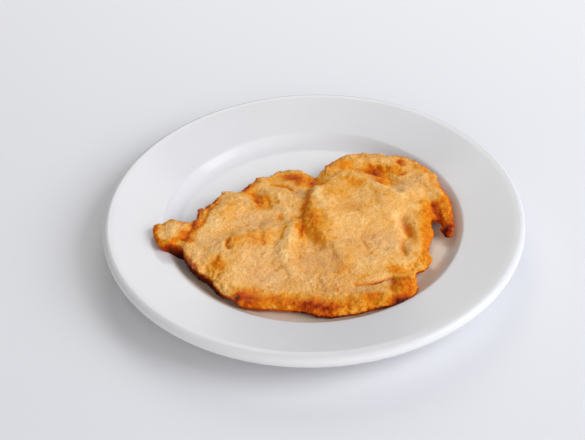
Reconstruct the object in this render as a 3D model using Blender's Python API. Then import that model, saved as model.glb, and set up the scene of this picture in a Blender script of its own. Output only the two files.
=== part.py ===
"""Breaded, fried schnitzel on the round porcelain plate that carries it.

Two pieces, each one closed solid:
  plate     - a turned dinner plate: rounded lip, sloping rim, steep well wall, flat floor, foot ring
  schnitzel - one cutlet of meat in its crust, lying across the well, with its left end lifted over
              the plate's shoulder

+Z is up. The plate's axis is the Z axis and its foot stands on Z = 0. The sizes below are in
millimetres, and MM turns them into Blender's metres when the meshes are made.
"""
import math
from typing import NamedTuple

import bmesh
import bpy
import numpy as np
from mathutils import Vector, noise
from mathutils.geometry import delaunay_2d_cdt

MM = 0.001

# ---------------------------------------------------------------- driving dimensions, millimetres
PLATE_DIAMETER = 260.0
PLATE_SEGMENTS = 72
LIP_RADIUS = 3.5            # the rounded lip, seen in section
LIP_HEIGHT = 18.5           # centre of the lip's round above the table
LIP_SWEEP = 150.0           # degrees that the lip turns, from its crest to its underside
LIP_STEPS = 5
SHOULDER_DIAMETER = 186.0   # where the rim breaks down into the well
SHOULDER_HEIGHT = 13.2
SHOULDER_ROUND = 5.0
FLOOR_DIAMETER = 170.0      # where the well's wall would meet the flat floor
FLOOR_HEIGHT = 6.0
FLOOR_ROUND = 9.0
RIM_THICKNESS = 4.6
WALL_THICKNESS = 3.6        # measured along the radius
FLOOR_THICKNESS = 4.2
UNDERSIDE_ROUND = 5.0       # below the shoulder
FOOT_DIAMETER = 152.0       # outside of the foot ring
FOOT_WIDTH = 4.5            # the ring's width at its top, with rounded edges below
FOOT_FLAT = 2.7             # the flat that touches the table
FOOT_FILLET = 2.0           # between the foot ring and the wall
FOOT_SHORE = 3.0            # how far outside the foot ring the wall comes down
FOOT_SHORE_HEIGHT = 1.4

GAP = 0.35                  # air between the crust and the glaze where they touch
SHOULDER_CLEARANCE = 0.6    # more air where the crust's facets bridge the round shoulder
THICKNESS = 8.8             # schnitzel, in its middle
EDGE_THICKNESS = 5.4        # schnitzel, along its rim
EDGE_TAPER = 11.0           # distance over which the rim grows to the full thickness
EDGE_ROUND = 4.2            # reach of the rounded edge
RELIEF_FADE = 4.0           # folds and swells grow to their full height over this distance
UNDERSIDE_SHARE = 0.45      # how much of a fold's height also shows below
UNDERSIDE_RISE = 1.5        # the most that a fold's height counts below
LEAST_SHARE = 0.7           # a groove leaves this share of the thickness
SETTLE = 1.8                # how far the soft middle sinks below the level of its edge
SETTLE_REACH = 12.0         # over this distance from the edge
SHOULDER_REACH = 7.0        # how far from the shoulder the extra clearance holds
OUTLINE_STEP = 3.5          # spacing of the mesh along the outline
RING_INSETS = (1.1, 2.8)    # rings of points that draw the rounded edge
FIELD_STEP = 4.6            # spacing of the points inside
FOLD_STEP = 3.6             # spacing of the points that draw each fold's crest
CRUMB_WANDER = 0.55         # how far the crumb coating wanders to and fro along the edge
CRUMB_WAVE = 6.5            # length of those waves

# The schnitzel's outline, clockwise from above, in named stretches: x, y and the height of the
# edge's middle. A smooth closed curve runs through them.
OUTLINE = {
    "nub_back": ((-98.3, -12.0, 19.0), (-96.5, -9.5, 19.5), (-92.0, -9.3, 19.5), (-87.5, -7.5, 20.0),
                 (-77.5, -9.0, 19.0)),
    "left_lobe": ((-73.5, -5.5, 17.5), (-71.2, 5.5, 15.5), (-65.5, 12.5, 14.5), (-55.3, 26.7, 14.0),
                  (-45.5, 27.0, 13.0)),
    "back_lobe": ((-42.0, 34.5, 11.5), (-38.0, 38.5, 11.0), (-35.6, 45.4, 11.0), (-29.5, 43.2, 11.0),
                  (-24.0, 48.0, 11.0), (-14.0, 51.5, 11.0), (1.0, 45.0, 11.0), (3.6, 40.5, 11.5)),
    "right_back": ((11.0, 53.0, 12.5), (29.5, 64.5, 12.5), (53.5, 61.5, 12.5), (65.0, 57.0, 12.5),
                   (81.3, 38.5, 12.8), (87.3, 9.5, 13.0), (87.8, -8.5, 13.0)),
    "tail": ((84.0, -24.0, 12.0), (79.8, -21.5, 11.5), (77.4, -11.0, 12.0)),
    "right_edge": ((75.2, -11.5, 11.0), (70.5, -29.0, 10.5), (68.2, -37.5, 10.0), (70.0, -40.0, 10.0),
                   (64.3, -49.7, 10.0), (58.6, -53.8, 10.5)),
    "corner": ((60.2, -67.5, 12.2), (54.5, -73.0, 12.4), (44.0, -78.0, 12.0), (31.0, -81.5, 10.2)),
    "front_edge": ((8.0, -85.5, 9.0), (-10.0, -80.0, 9.0), (-38.0, -76.5, 10.0)),
    "lifted_edge": ((-44.0, -76.0, 11.0), (-49.0, -71.0, 12.0), (-58.8, -63.0, 13.5),
                    (-62.5, -55.0, 14.0), (-72.5, -47.5, 16.0), (-79.5, -35.0, 17.5),
                    (-79.8, -28.5, 18.0)),
    "nub_front": ((-87.5, -32.3, 18.5), (-95.5, -27.3, 18.5)),
}


class Swell(NamedTuple):
    """A broad hump of the meat, or a dip where rise is negative. Its round falls off as a bell."""
    x: float
    y: float
    half_x: float
    half_y: float
    turn: float   # degrees, anticlockwise from above
    rise: float


class Fold(NamedTuple):
    """A ridge along a bent line, or a groove where rise is negative.

    left and right are the widths of its two flanks, as seen when going along the line.
    """
    line: tuple
    left: float
    right: float
    rise: float


SWELLS = {
    "right_lobe": Swell(32.0, -6.0, 40.0, 32.0, 0.0, 3.0),
    "right_front": Swell(28.0, -50.0, 34.0, 16.0, 0.0, 0.8),
    "middle_dip": Swell(-33.0, -7.0, 18.0, 9.0, 15.0, -1.2),
    "left_swell": Swell(-46.0, -44.0, 15.0, 17.0, 20.0, 1.2),
    "left_saddle": Swell(-66.0, -26.0, 12.0, 10.0, 60.0, -1.4),
    "left_back": Swell(-57.0, 4.0, 12.0, 15.0, -25.0, 1.8),
    "back_lobe_slope": Swell(-15.0, 44.0, 16.0, 7.0, 0.0, -1.4),
    "front_roll": Swell(-8.0, -72.0, 44.0, 7.0, 0.0, -0.8),
    "corner_pad": Swell(52.0, -67.0, 8.0, 8.0, 0.0, 1.4),
    "nub_cup": Swell(-89.5, -18.5, 5.0, 6.0, 0.0, -1.3),
}

FOLDS = {
    "lobe_rim": Fold(((11.0, -34.0), (9.6, -23.5), (6.3, -4.0), (2.8, 14.0), (4.5, 22.0), (11.0, 27.0),
                      (20.0, 35.0), (28.5, 38.0), (37.5, 28.0), (47.5, 17.5), (55.0, 10.5)),
                     5.0, 12.0, 3.6),
    "lobe_valley": Fold(((1.5, 37.0), (1.0, 29.5), (-2.0, 17.5), (-4.5, 7.0), (-7.5, -7.0),
                         (-7.0, -15.0), (-3.5, -23.0), (5.5, -33.0)), 5.5, 3.5, -2.6),
    "trough": Fold(((27.0, 46.5), (33.0, 45.5), (40.0, 43.0), (46.0, 38.5), (50.5, 33.0),
                    (52.5, 26.0)), 5.0, 4.0, -3.2),
    "flap_rim": Fold(((12.5, 43.0), (20.0, 51.0), (28.5, 53.5), (47.0, 51.0), (57.0, 49.0),
                      (66.0, 43.0), (73.0, 35.0), (78.0, 25.0), (81.5, 11.0)), 6.0, 5.0, 1.8),
    "tail_groove": Fold(((72.5, 14.0), (75.0, 4.0), (76.6, -7.0)), 3.0, 3.0, -2.4),
    "right_roll": Fold(((68.5, 2.0), (68.5, -12.0), (66.5, -24.0), (64.0, -36.0), (60.0, -47.0)),
                       5.0, 5.0, 1.3),
    "right_dimple": Fold(((56.5, -8.0), (56.3, -17.5), (58.0, -25.5)), 3.5, 3.0, -2.4),
    "small_crease": Fold(((56.0, -29.0), (53.0, -34.5), (52.5, -39.0)), 2.5, 2.5, -1.2),
    "finger": Fold(((-11.5, -11.0), (-13.5, -21.0), (-15.5, -29.0), (-18.5, -41.0), (-17.0, -51.0)),
                   7.0, 3.5, 2.2),
    "finger_dip": Fold(((-16.0, -11.0), (-20.0, -22.0), (-24.0, -36.0)), 3.5, 4.5, -1.4),
    "front_mass_edge": Fold(((-62.0, -54.5), (-57.5, -46.0), (-54.0, -33.0), (-49.5, -25.5),
                             (-43.5, -21.0), (-31.0, -19.5), (-21.5, -16.0)), 4.0, 15.0, 1.9),
    "ledge": Fold(((-27.0, 21.5), (-19.5, 19.0), (-13.5, 17.0), (-5.0, 10.5)), 3.0, 6.0, 1.9),
    "back_crease": Fold(((-25.0, 32.5), (-15.5, 29.5), (-12.0, 24.5), (-5.0, 19.0)), 4.0, 3.0, -2.0),
    "pit": Fold(((-36.5, 25.0), (-33.0, 16.5), (-27.5, 9.5)), 4.5, 4.0, -2.6),
    "front_tear": Fold(((19.5, -66.0), (28.5, -67.3), (36.5, -65.0), (43.5, -62.5)), 3.0, 3.0, -1.6),
    "corner_crease": Fold(((42.8, -66.0), (42.8, -73.0), (43.5, -79.0)), 3.0, 3.0, -1.4),
    "nub_neck": Fold(((-76.0, -8.0), (-75.5, -15.0), (-80.5, -27.0)), 3.0, 3.5, -2.0),
}

PORCELAIN_COLOUR = (0.86, 0.86, 0.87, 1.0)
CRUST_COLOUR = (0.72, 0.42, 0.16, 1.0)


# ---------------------------------------------------------------- small helpers
def clear_scene():
    """Remove every object of the opened scene."""
    for old in list(bpy.data.objects):
        bpy.data.objects.remove(old, do_unlink=True)


def make_material(name, colour, roughness):
    """Return a Principled material of one colour."""
    material = bpy.data.materials.new(name)
    material.use_nodes = True
    shader = material.node_tree.nodes["Principled BSDF"]
    shader.inputs["Base Color"].default_value = colour
    shader.inputs["Roughness"].default_value = roughness
    shader.inputs["Metallic"].default_value = 0.0
    return material


def rounded_path(corners):
    """Return the points of a path whose corners, (r, z, radius, steps), are rounded off."""
    points = []
    for index, (r, z, radius, steps) in enumerate(corners):
        corner = Vector((r, z))
        if radius == 0.0:
            points.append(corner)
            continue
        to_last = (Vector(corners[index - 1][:2]) - corner).normalized()
        to_next = (Vector(corners[index + 1][:2]) - corner).normalized()
        half_angle = to_last.angle(to_next) / 2.0
        centre = corner + (to_last + to_next).normalized() * (radius / math.sin(half_angle))
        reach = radius / math.tan(half_angle)
        start = corner + to_last * reach - centre
        sweep = start.angle_signed(corner + to_next * reach - centre)
        for step in range(steps + 1):
            turn = -sweep * step / steps
            arm = Vector((start.x * math.cos(turn) - start.y * math.sin(turn),
                          start.x * math.sin(turn) + start.y * math.cos(turn)))
            points.append(centre + arm)
    return points


# ---------------------------------------------------------------- plate
def lip_corners():
    """Return the lip's round, from its crest over the outside to its underside."""
    middle = PLATE_DIAMETER / 2.0 - LIP_RADIUS
    corners = []
    for step in range(LIP_STEPS + 1):
        angle = math.radians(90.0 - LIP_SWEEP * step / LIP_STEPS)
        corners.append((middle + LIP_RADIUS * math.cos(angle), LIP_HEIGHT + LIP_RADIUS * math.sin(angle),
                        0.0, 0))
    return corners


def plate_section():
    """Return the plate's section: out along the top, round the lip, and back along the underside."""
    foot = FOOT_DIAMETER / 2.0
    foot_edge = (FOOT_WIDTH - FOOT_FLAT) / 2.0
    under_floor = FLOOR_HEIGHT - FLOOR_THICKNESS
    top = [
        (0.0, FLOOR_HEIGHT, 0.0, 0),
        (FLOOR_DIAMETER / 2.0, FLOOR_HEIGHT, FLOOR_ROUND, 3),
        (SHOULDER_DIAMETER / 2.0, SHOULDER_HEIGHT, SHOULDER_ROUND, 3),
    ]
    underside = [
        (SHOULDER_DIAMETER / 2.0 + WALL_THICKNESS, SHOULDER_HEIGHT - RIM_THICKNESS, UNDERSIDE_ROUND, 2),
        (foot + FOOT_SHORE, FOOT_SHORE_HEIGHT, FOOT_FILLET, 1),
        (foot, foot_edge, 0.0, 0),
        (foot - foot_edge, 0.0, 0.0, 0),
        (foot - foot_edge - FOOT_FLAT, 0.0, 0.0, 0),
        (foot - FOOT_WIDTH, under_floor, 0.0, 0),
        (0.0, under_floor, 0.0, 0),
    ]
    return rounded_path(top + lip_corners() + underside)


def plate_height(radius):
    """Return the height of the plate's upper side at each of an array of radii."""
    section = plate_section()
    crest = max(range(len(section)), key=lambda index: section[index].y)
    upper = section[:crest + 1]
    return np.interp(radius, [point.x for point in upper], [point.y for point in upper])


def build_plate():
    """Turn the plate's section about the Z axis."""
    section = plate_section()
    mesh = bpy.data.meshes.new("plate")
    mesh.from_pydata([(r * MM, 0.0, z * MM) for r, z in section],
                     [(i, i + 1) for i in range(len(section) - 1)], [])
    mesh.materials.append(make_material("porcelain", PORCELAIN_COLOUR, 0.12))
    plate = bpy.data.objects.new("plate", mesh)
    bpy.context.scene.collection.objects.link(plate)
    turning = plate.modifiers.new("turning", "SCREW")
    turning.axis = "Z"
    turning.angle = math.tau
    turning.screw_offset = 0.0
    turning.steps = PLATE_SEGMENTS
    turning.render_steps = PLATE_SEGMENTS
    turning.use_merge_vertices = True
    turning.merge_threshold = 0.00005
    turning.use_smooth_shade = True
    return plate


# ---------------------------------------------------------------- schnitzel
def smooth_closed_curve(points, per_span=16):
    """Return a centripetal Catmull-Rom curve through a closed ring of points, as an array."""
    ring = [np.array(p, dtype=float) for p in points]
    curve = []
    for i in range(len(ring)):
        before, start, end, after = (ring[(i + k) % len(ring)] for k in (-1, 0, 1, 2))
        knots = [0.0]
        for first, second in ((before, start), (start, end), (end, after)):
            knots.append(knots[-1] + math.sqrt(np.linalg.norm((second - first)[:2])))
        k0, k1, k2, k3 = knots
        for step in range(per_span):
            k = k1 + (k2 - k1) * step / per_span
            a1 = ((k1 - k) * before + (k - k0) * start) / (k1 - k0)
            a2 = ((k2 - k) * start + (k - k1) * end) / (k2 - k1)
            a3 = ((k3 - k) * end + (k - k2) * after) / (k3 - k2)
            b1 = ((k2 - k) * a1 + (k - k0) * a2) / (k2 - k0)
            b2 = ((k3 - k) * a2 + (k - k1) * a3) / (k3 - k1)
            curve.append(((k2 - k) * b1 + (k - k1) * b2) / (k2 - k1))
    return np.array(curve)


def evenly_spaced(curve, step):
    """Return points at equal distances along a closed curve."""
    closed = np.vstack([curve, curve[:1]])
    lengths = np.linalg.norm(np.diff(closed[:, :2], axis=0), axis=1)
    along = np.concatenate([[0.0], np.cumsum(lengths)])
    count = int(round(along[-1] / step))
    stations = np.arange(count) * along[-1] / count
    return np.stack([np.interp(stations, along, closed[:, k]) for k in range(3)], axis=1)


def inward_normals(ring):
    """Return the unit normals that point into a clockwise ring."""
    tangent = np.roll(ring, -1, axis=0)[:, :2] - np.roll(ring, 1, axis=0)[:, :2]
    tangent /= np.linalg.norm(tangent, axis=1)[:, None]
    return np.stack([tangent[:, 1], -tangent[:, 0]], axis=1)


def crumbed_outline():
    """Return the schnitzel's outline with the small wander of its crumb coating."""
    corners = [corner for stretch in OUTLINE.values() for corner in stretch]
    ring = evenly_spaced(smooth_closed_curve(corners), OUTLINE_STEP)
    normals = inward_normals(ring)
    for index, (x, y, _) in enumerate(ring.copy()):
        wander = noise.noise(Vector((x, y, 3.7)) / CRUMB_WAVE) * 2.0 * CRUMB_WANDER
        ring[index, :2] += normals[index] * wander
    return ring


def distance_to_line(points, line, closed=False):
    """Return each point's distance to a bent line, and its side: 1 on the left, -1 on the right."""
    stops = np.array(line, dtype=float)[:, :2]
    starts = stops if closed else stops[:-1]
    ends = np.roll(stops, -1, axis=0) if closed else stops[1:]
    nearest = np.full(len(points), np.inf)
    side = np.ones(len(points))
    for start, end in zip(starts, ends):
        run = end - start
        offset = points - start
        share = np.clip(offset @ run / (run @ run), 0.0, 1.0)
        distance = np.linalg.norm(offset - share[:, None] * run, axis=1)
        cross = run[0] * offset[:, 1] - run[1] * offset[:, 0]
        closer = distance < nearest
        side[closer] = np.where(cross[closer] >= 0.0, 1.0, -1.0)
        nearest = np.minimum(nearest, distance)
    return nearest, side


def is_inside(points, ring):
    """Return which points lie inside a closed ring."""
    inside = np.zeros(len(points), dtype=bool)
    for (x0, y0), (x1, y1) in zip(ring[:, :2], np.roll(ring, -1, axis=0)[:, :2]):
        crosses = (y0 > points[:, 1]) != (y1 > points[:, 1])
        x_cross = x0 + (points[:, 1] - y0) * (x1 - x0) / (y1 - y0 if y1 != y0 else 1.0)
        inside ^= crosses & (points[:, 0] < x_cross)
    return inside


def inset_ring(ring, inset):
    """Return a ring's points moved inwards, without those that come too near another stretch."""
    moved = ring[:, :2] + inward_normals(ring) * inset
    distance, _ = distance_to_line(moved, ring, closed=True)
    return moved[is_inside(moved, ring) & (distance > 0.85 * inset)]


def apart_from(points, others, least):
    """Return the points that keep at least a distance from all the others."""
    gaps = np.linalg.norm(points[:, None, :] - others[None, :, :], axis=2)
    return points[gaps.min(axis=1) >= least]


def fold_points(ring):
    """Return points along each fold's line, clear of the edge and of each other."""
    kept = np.empty((0, 2))
    for fold in FOLDS.values():
        stops = np.array(fold.line)
        along = np.concatenate([[0.0], np.cumsum(np.linalg.norm(np.diff(stops, axis=0), axis=1))])
        count = int(along[-1] / FOLD_STEP) + 1
        stations = np.linspace(0.0, along[-1], count)
        line = np.stack([np.interp(stations, along, stops[:, k]) for k in range(2)], axis=1)
        distance, _ = distance_to_line(line, ring, closed=True)
        line = line[is_inside(line, ring) & (distance > RING_INSETS[-1] + 0.4 * FOLD_STEP)]
        kept = np.vstack([kept, apart_from(line, kept, 0.6 * FOLD_STEP) if len(kept) else line])
    return kept


def field_points(ring):
    """Return a triangular grid of points inside a ring, clear of its edge."""
    row_step = FIELD_STEP * math.sqrt(3.0) / 2.0
    low = ring[:, :2].min(axis=0)
    high = ring[:, :2].max(axis=0)
    rows = np.arange(low[1], high[1], row_step)
    grid = []
    for number, y in enumerate(rows):
        start = low[0] + (number % 2) * FIELD_STEP / 2.0
        grid += [(x, y) for x in np.arange(start, high[0], FIELD_STEP)]
    grid = np.array(grid)
    distance, _ = distance_to_line(grid, ring, closed=True)
    return grid[is_inside(grid, ring) & (distance > RING_INSETS[-1] + 0.55 * FIELD_STEP)]


def relief(points):
    """Return how far the swells and folds lift the surface at each point."""
    height = np.zeros(len(points))
    for swell in SWELLS.values():
        turn = math.radians(swell.turn)
        offset = points - np.array((swell.x, swell.y))
        along = (offset[:, 0] * math.cos(turn) + offset[:, 1] * math.sin(turn)) / swell.half_x
        across = (offset[:, 1] * math.cos(turn) - offset[:, 0] * math.sin(turn)) / swell.half_y
        height += swell.rise * np.exp(-(along ** 2 + across ** 2))
    for fold in FOLDS.values():
        distance, side = distance_to_line(points, fold.line)
        flank = np.where(side > 0.0, fold.left, fold.right)
        height += fold.rise * np.exp(-(distance / flank) ** 2)
    return height


def edge_height(points, ring):
    """Return the middle height at each point, carried in from the heights along the outline."""
    apart = np.linalg.norm(points[:, None, :] - ring[None, :, :2], axis=2)
    weight = 1.0 / np.maximum(apart, 0.05) ** 3
    return (weight * ring[None, :, 2]).sum(axis=1) / weight.sum(axis=1)


def schnitzel_sides(points, ring, from_edge):
    """Return the heights of the top and of the underside at points a distance from the edge."""
    thickness = THICKNESS + (EDGE_THICKNESS - THICKNESS) * np.exp(-from_edge / EDGE_TAPER)
    inward = 1.0 - np.clip(from_edge / EDGE_ROUND, 0.0, 1.0)
    half = 0.5 * thickness * np.sqrt(1.0 - inward ** 2)
    lift = relief(points) * (1.0 - np.exp(-from_edge / RELIEF_FADE))
    middle = edge_height(points, ring)
    settled = SETTLE * (1.0 - np.exp(-(from_edge / SETTLE_REACH) ** 2))
    underside = middle - half - settled + UNDERSIDE_SHARE * np.minimum(lift, UNDERSIDE_RISE)
    radius = np.linalg.norm(points, axis=1)
    shoulder = np.exp(-((radius - SHOULDER_DIAMETER / 2.0) / SHOULDER_REACH) ** 2)
    rest = plate_height(radius) + GAP + SHOULDER_CLEARANCE * shoulder
    underside = np.maximum(underside, rest)
    top = np.maximum(middle + half + lift, underside + 2.0 * half * LEAST_SHARE)
    return top, underside


def build_schnitzel():
    """Build the schnitzel as one closed skin: a top and an underside that share their outline."""
    ring = crumbed_outline()
    crests = fold_points(ring)
    field = apart_from(field_points(ring), crests, 0.6 * FIELD_STEP)
    rings = [inset_ring(ring, inset) for inset in RING_INSETS]
    flat = [Vector(p) for p in np.vstack([ring[:, :2], *rings, crests, field])]
    loop = [(i, (i + 1) % len(ring)) for i in range(len(ring))]
    plan, _, triangles, _, _, _ = delaunay_2d_cdt(flat, loop, [], 1, 1e-4)
    points = np.array([(p.x, p.y) for p in plan])
    from_edge, _ = distance_to_line(points, ring, closed=True)
    top, underside = schnitzel_sides(points, ring, from_edge)
    skin = bmesh.new()
    upper = []
    lower = []
    for (x, y), inset, above, below in zip(points, from_edge, top, underside):
        if inset < 1e-3:
            shared = skin.verts.new(Vector((x, y, 0.5 * (above + below))) * MM)
            upper.append(shared)
            lower.append(shared)
        else:
            upper.append(skin.verts.new(Vector((x, y, above)) * MM))
            lower.append(skin.verts.new(Vector((x, y, below)) * MM))
    for a, b, c in triangles:
        skin.faces.new((upper[a], upper[b], upper[c]))
        skin.faces.new((lower[c], lower[b], lower[a]))
    bmesh.ops.recalc_face_normals(skin, faces=skin.faces)
    mesh = bpy.data.meshes.new("schnitzel")
    skin.to_mesh(mesh)
    skin.free()
    mesh.shade_smooth()
    mesh.materials.append(make_material("crust", CRUST_COLOUR, 0.6))
    schnitzel = bpy.data.objects.new("schnitzel", mesh)
    bpy.context.scene.collection.objects.link(schnitzel)
    return schnitzel


def main():
    """Build both pieces in an empty scene."""
    clear_scene()
    build_plate()
    build_schnitzel()


main()
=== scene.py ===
"""Breaded schnitzel on its round porcelain plate: fine surfaces, finishes, light and camera.

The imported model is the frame. The plate and the cutlet of the frame are replaced by finer skins of
the same form and size: a turned plate with a soft lip, and a crust with its folds, blisters and
crumbs. Lengths in this file are millimetres unless a name says otherwise, and MM turns them into
Blender's metres.
"""

import logging
import math
from dataclasses import dataclass
from enum import Enum

import bmesh
import bpy
import numpy as np
from mathutils import Matrix, Vector, noise


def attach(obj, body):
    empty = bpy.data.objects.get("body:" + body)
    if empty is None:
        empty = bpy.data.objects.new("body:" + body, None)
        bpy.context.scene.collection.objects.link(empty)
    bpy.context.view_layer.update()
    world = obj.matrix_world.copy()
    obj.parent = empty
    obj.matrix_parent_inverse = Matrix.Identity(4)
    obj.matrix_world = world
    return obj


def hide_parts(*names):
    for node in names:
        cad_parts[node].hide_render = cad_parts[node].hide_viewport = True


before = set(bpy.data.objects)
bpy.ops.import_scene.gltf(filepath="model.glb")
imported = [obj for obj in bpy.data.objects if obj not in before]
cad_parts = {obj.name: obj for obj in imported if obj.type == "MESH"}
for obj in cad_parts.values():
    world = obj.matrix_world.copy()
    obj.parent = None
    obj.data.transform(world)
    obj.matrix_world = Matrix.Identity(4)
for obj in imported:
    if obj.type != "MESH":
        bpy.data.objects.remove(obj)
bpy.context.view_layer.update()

MM = 0.001
WELD = 0.00001          # metres within which a solid's corners are one
LOG = logging.getLogger("schnitzel")

Socket = bpy.types.NodeSocket
Pair = tuple[float, float]
Triple = tuple[float, float, float]
Line = tuple[Pair, ...]
Corner = tuple[float, float, float, int]      # radius, height, rounding and steps


class Slot(Enum):
    """The record's material slots."""

    PORCELAIN = "porcelain"
    CRUST = "crust"


# ------------------------------------------------------------------------------ shader helpers
def srgb(red: float, green: float, blue: float) -> tuple[float, float, float, float]:
    """Turn a display colour into the linear colour that shaders take.

    Args:
        red: red, 0 to 255.
        green: green, 0 to 255.
        blue: blue, 0 to 255.

    Returns:
        The linear colour with alpha 1.
    """
    def linear(value: float) -> float:
        """Return one channel in linear light."""
        share = value / 255.0
        return share / 12.92 if share <= 0.04045 else ((share + 0.055) / 1.055) ** 2.4

    return (linear(red), linear(green), linear(blue), 1.0)


class Graph:
    """A node tree with short calls to add and join nodes."""

    def __init__(self, tree: bpy.types.NodeTree) -> None:
        """Keep the tree that nodes are added to."""
        self.tree = tree

    def add(self, kind: str, label: str = "", **settings: object) -> bpy.types.Node:
        """Add one node.

        Args:
            kind: Blender's type name of the node.
            label: what the node is for.
            **settings: attributes of the node.

        Returns:
            The new node.
        """
        node = self.tree.nodes.new(kind)
        node.label = label
        for name, value in settings.items():
            setattr(node, name, value)
        return node

    def join(self, source: Socket, target: Socket) -> None:
        """Link an output to an input."""
        self.tree.links.new(source, target)

    def feed(self, target: Socket, value: object) -> None:
        """Give an input either a link or a plain value.

        Args:
            target: the input.
            value: the output to link, or the value.
        """
        if isinstance(value, Socket):
            self.join(value, target)
        else:
            target.default_value = value

    def math(self, operation: str, first: object, second: object = 0.0,
             clamp: bool = False) -> Socket:
        """Add a Math node.

        Args:
            operation: its operation.
            first: socket or number.
            second: socket or number.
            clamp: whether the result stays between 0 and 1.

        Returns:
            The output socket.
        """
        node = self.add("ShaderNodeMath", operation=operation, use_clamp=clamp)
        self.feed(node.inputs[0], first)
        self.feed(node.inputs[1], second)
        return node.outputs[0]

    def noise(self, vector: Socket, scale: float, detail: float = 3.0, rough: float = 0.55) -> Socket:
        """Add a Noise Texture.

        Args:
            vector: where it is read.
            scale: lumps in each metre.
            detail: how many finer layers it has.
            rough: how strong the finer layers are.

        Returns:
            The socket of its grey value.
        """
        node = self.add("ShaderNodeTexNoise")
        for name, number in (("Scale", scale), ("Detail", detail), ("Roughness", rough)):
            node.inputs[name].default_value = number
        self.join(vector, node.inputs["Vector"])
        return node.outputs[0]

    def span(self, value: object, low: float, high: float, to_low: float = 0.0,
             to_high: float = 1.0) -> Socket:
        """Map a value from one range to another, held at its ends.

        Args:
            value: socket or number.
            low: where the range starts.
            high: where the range ends.
            to_low: the result at low.
            to_high: the result at high.

        Returns:
            The output socket.
        """
        node = self.add("ShaderNodeMapRange", clamp=True)
        self.feed(node.inputs["Value"], value)
        for name, number in (("From Min", low), ("From Max", high), ("To Min", to_low),
                             ("To Max", to_high)):
            node.inputs[name].default_value = number
        return node.outputs[0]

    def blend(self, share: object, first: object, second: object, kind: str = "MIX") -> Socket:
        """Mix two colours.

        Args:
            share: socket or number, 0 for the first colour alone.
            first: socket or colour.
            second: socket or colour.
            kind: how they are mixed.

        Returns:
            The socket of the mixed colour.
        """
        node = self.add("ShaderNodeMix", data_type="RGBA", blend_type=kind)
        self.feed(node.inputs[0], share)
        self.feed(node.inputs[6], first)
        self.feed(node.inputs[7], second)
        return node.outputs[2]

    def ramp(self, value: Socket, stops: tuple[tuple[float, tuple], ...]) -> Socket:
        """Add a Color Ramp.

        Args:
            value: what it is read at.
            stops: the place and colour of each stop.

        Returns:
            The socket of its colour.
        """
        node = self.add("ShaderNodeValToRGB")
        bar = node.color_ramp.elements
        while len(bar) > 1:
            bar.remove(bar[-1])
        for number, (place, colour) in enumerate(stops):
            stop = bar[0] if number == 0 else bar.new(place)
            stop.position = place
            stop.color = colour
        self.join(value, node.inputs[0])
        return node.outputs[0]

    def place(self, kind: str = "Object") -> Socket:
        """Add a Texture Coordinate node and return one of its outputs."""
        return self.add("ShaderNodeTexCoord").outputs[kind]

    def stored(self, name: str, label: str) -> Socket:
        """Read the number that the mesh stores for each point under a name."""
        return self.add("ShaderNodeAttribute", label, attribute_name=name).outputs["Fac"]

    def bump(self, height: Socket, distance: float, strength: float = 1.0) -> Socket:
        """Add a Bump node.

        Args:
            height: the height, 0 to 1.
            distance: what a height of 1 stands for, in millimetres.
            strength: how much of it is used.

        Returns:
            The socket of the bent normal.
        """
        node = self.add("ShaderNodeBump")
        node.inputs["Strength"].default_value = strength
        node.inputs["Distance"].default_value = distance * MM
        self.join(height, node.inputs["Height"])
        return node.outputs["Normal"]

    def cloudy(self, clouds: Socket, colour: Triple, shade: float) -> Socket:
        """Cloud a display colour very faintly.

        Args:
            clouds: the noise that makes the clouds.
            colour: the colour, 0 to 255 in each channel.
            shade: how much darker the clouds are in each channel.

        Returns:
            The socket of the clouded colour.
        """
        return self.blend(self.span(clouds, 0.3, 0.7), srgb(*colour),
                          srgb(*(value - shade for value in colour)))


def new_group(name: str, inputs: dict[str, tuple[str, float]],
              outputs: dict[str, str]) -> tuple[bpy.types.NodeTree, Graph, dict, dict]:
    """Make an empty shader node group with named sockets.

    Args:
        name: the group's name.
        inputs: socket name to (kind, start value).
        outputs: socket name to kind.

    Returns:
        The group, its graph, its inner input sockets and its inner output sockets by name.
    """
    group = bpy.data.node_groups.new(name, "ShaderNodeTree")
    for title, (kind, value) in inputs.items():
        socket = group.interface.new_socket(name=title, in_out="INPUT", socket_type=kind)
        if kind == "NodeSocketFloat":
            socket.default_value = value
    for title, kind in outputs.items():
        group.interface.new_socket(name=title, in_out="OUTPUT", socket_type=kind)
    graph = Graph(group)
    inner = graph.add("NodeGroupInput")
    outer = graph.add("NodeGroupOutput")
    return (group, graph, {title: inner.outputs[title] for title in inputs},
            {title: outer.inputs[title] for title in outputs})


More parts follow.
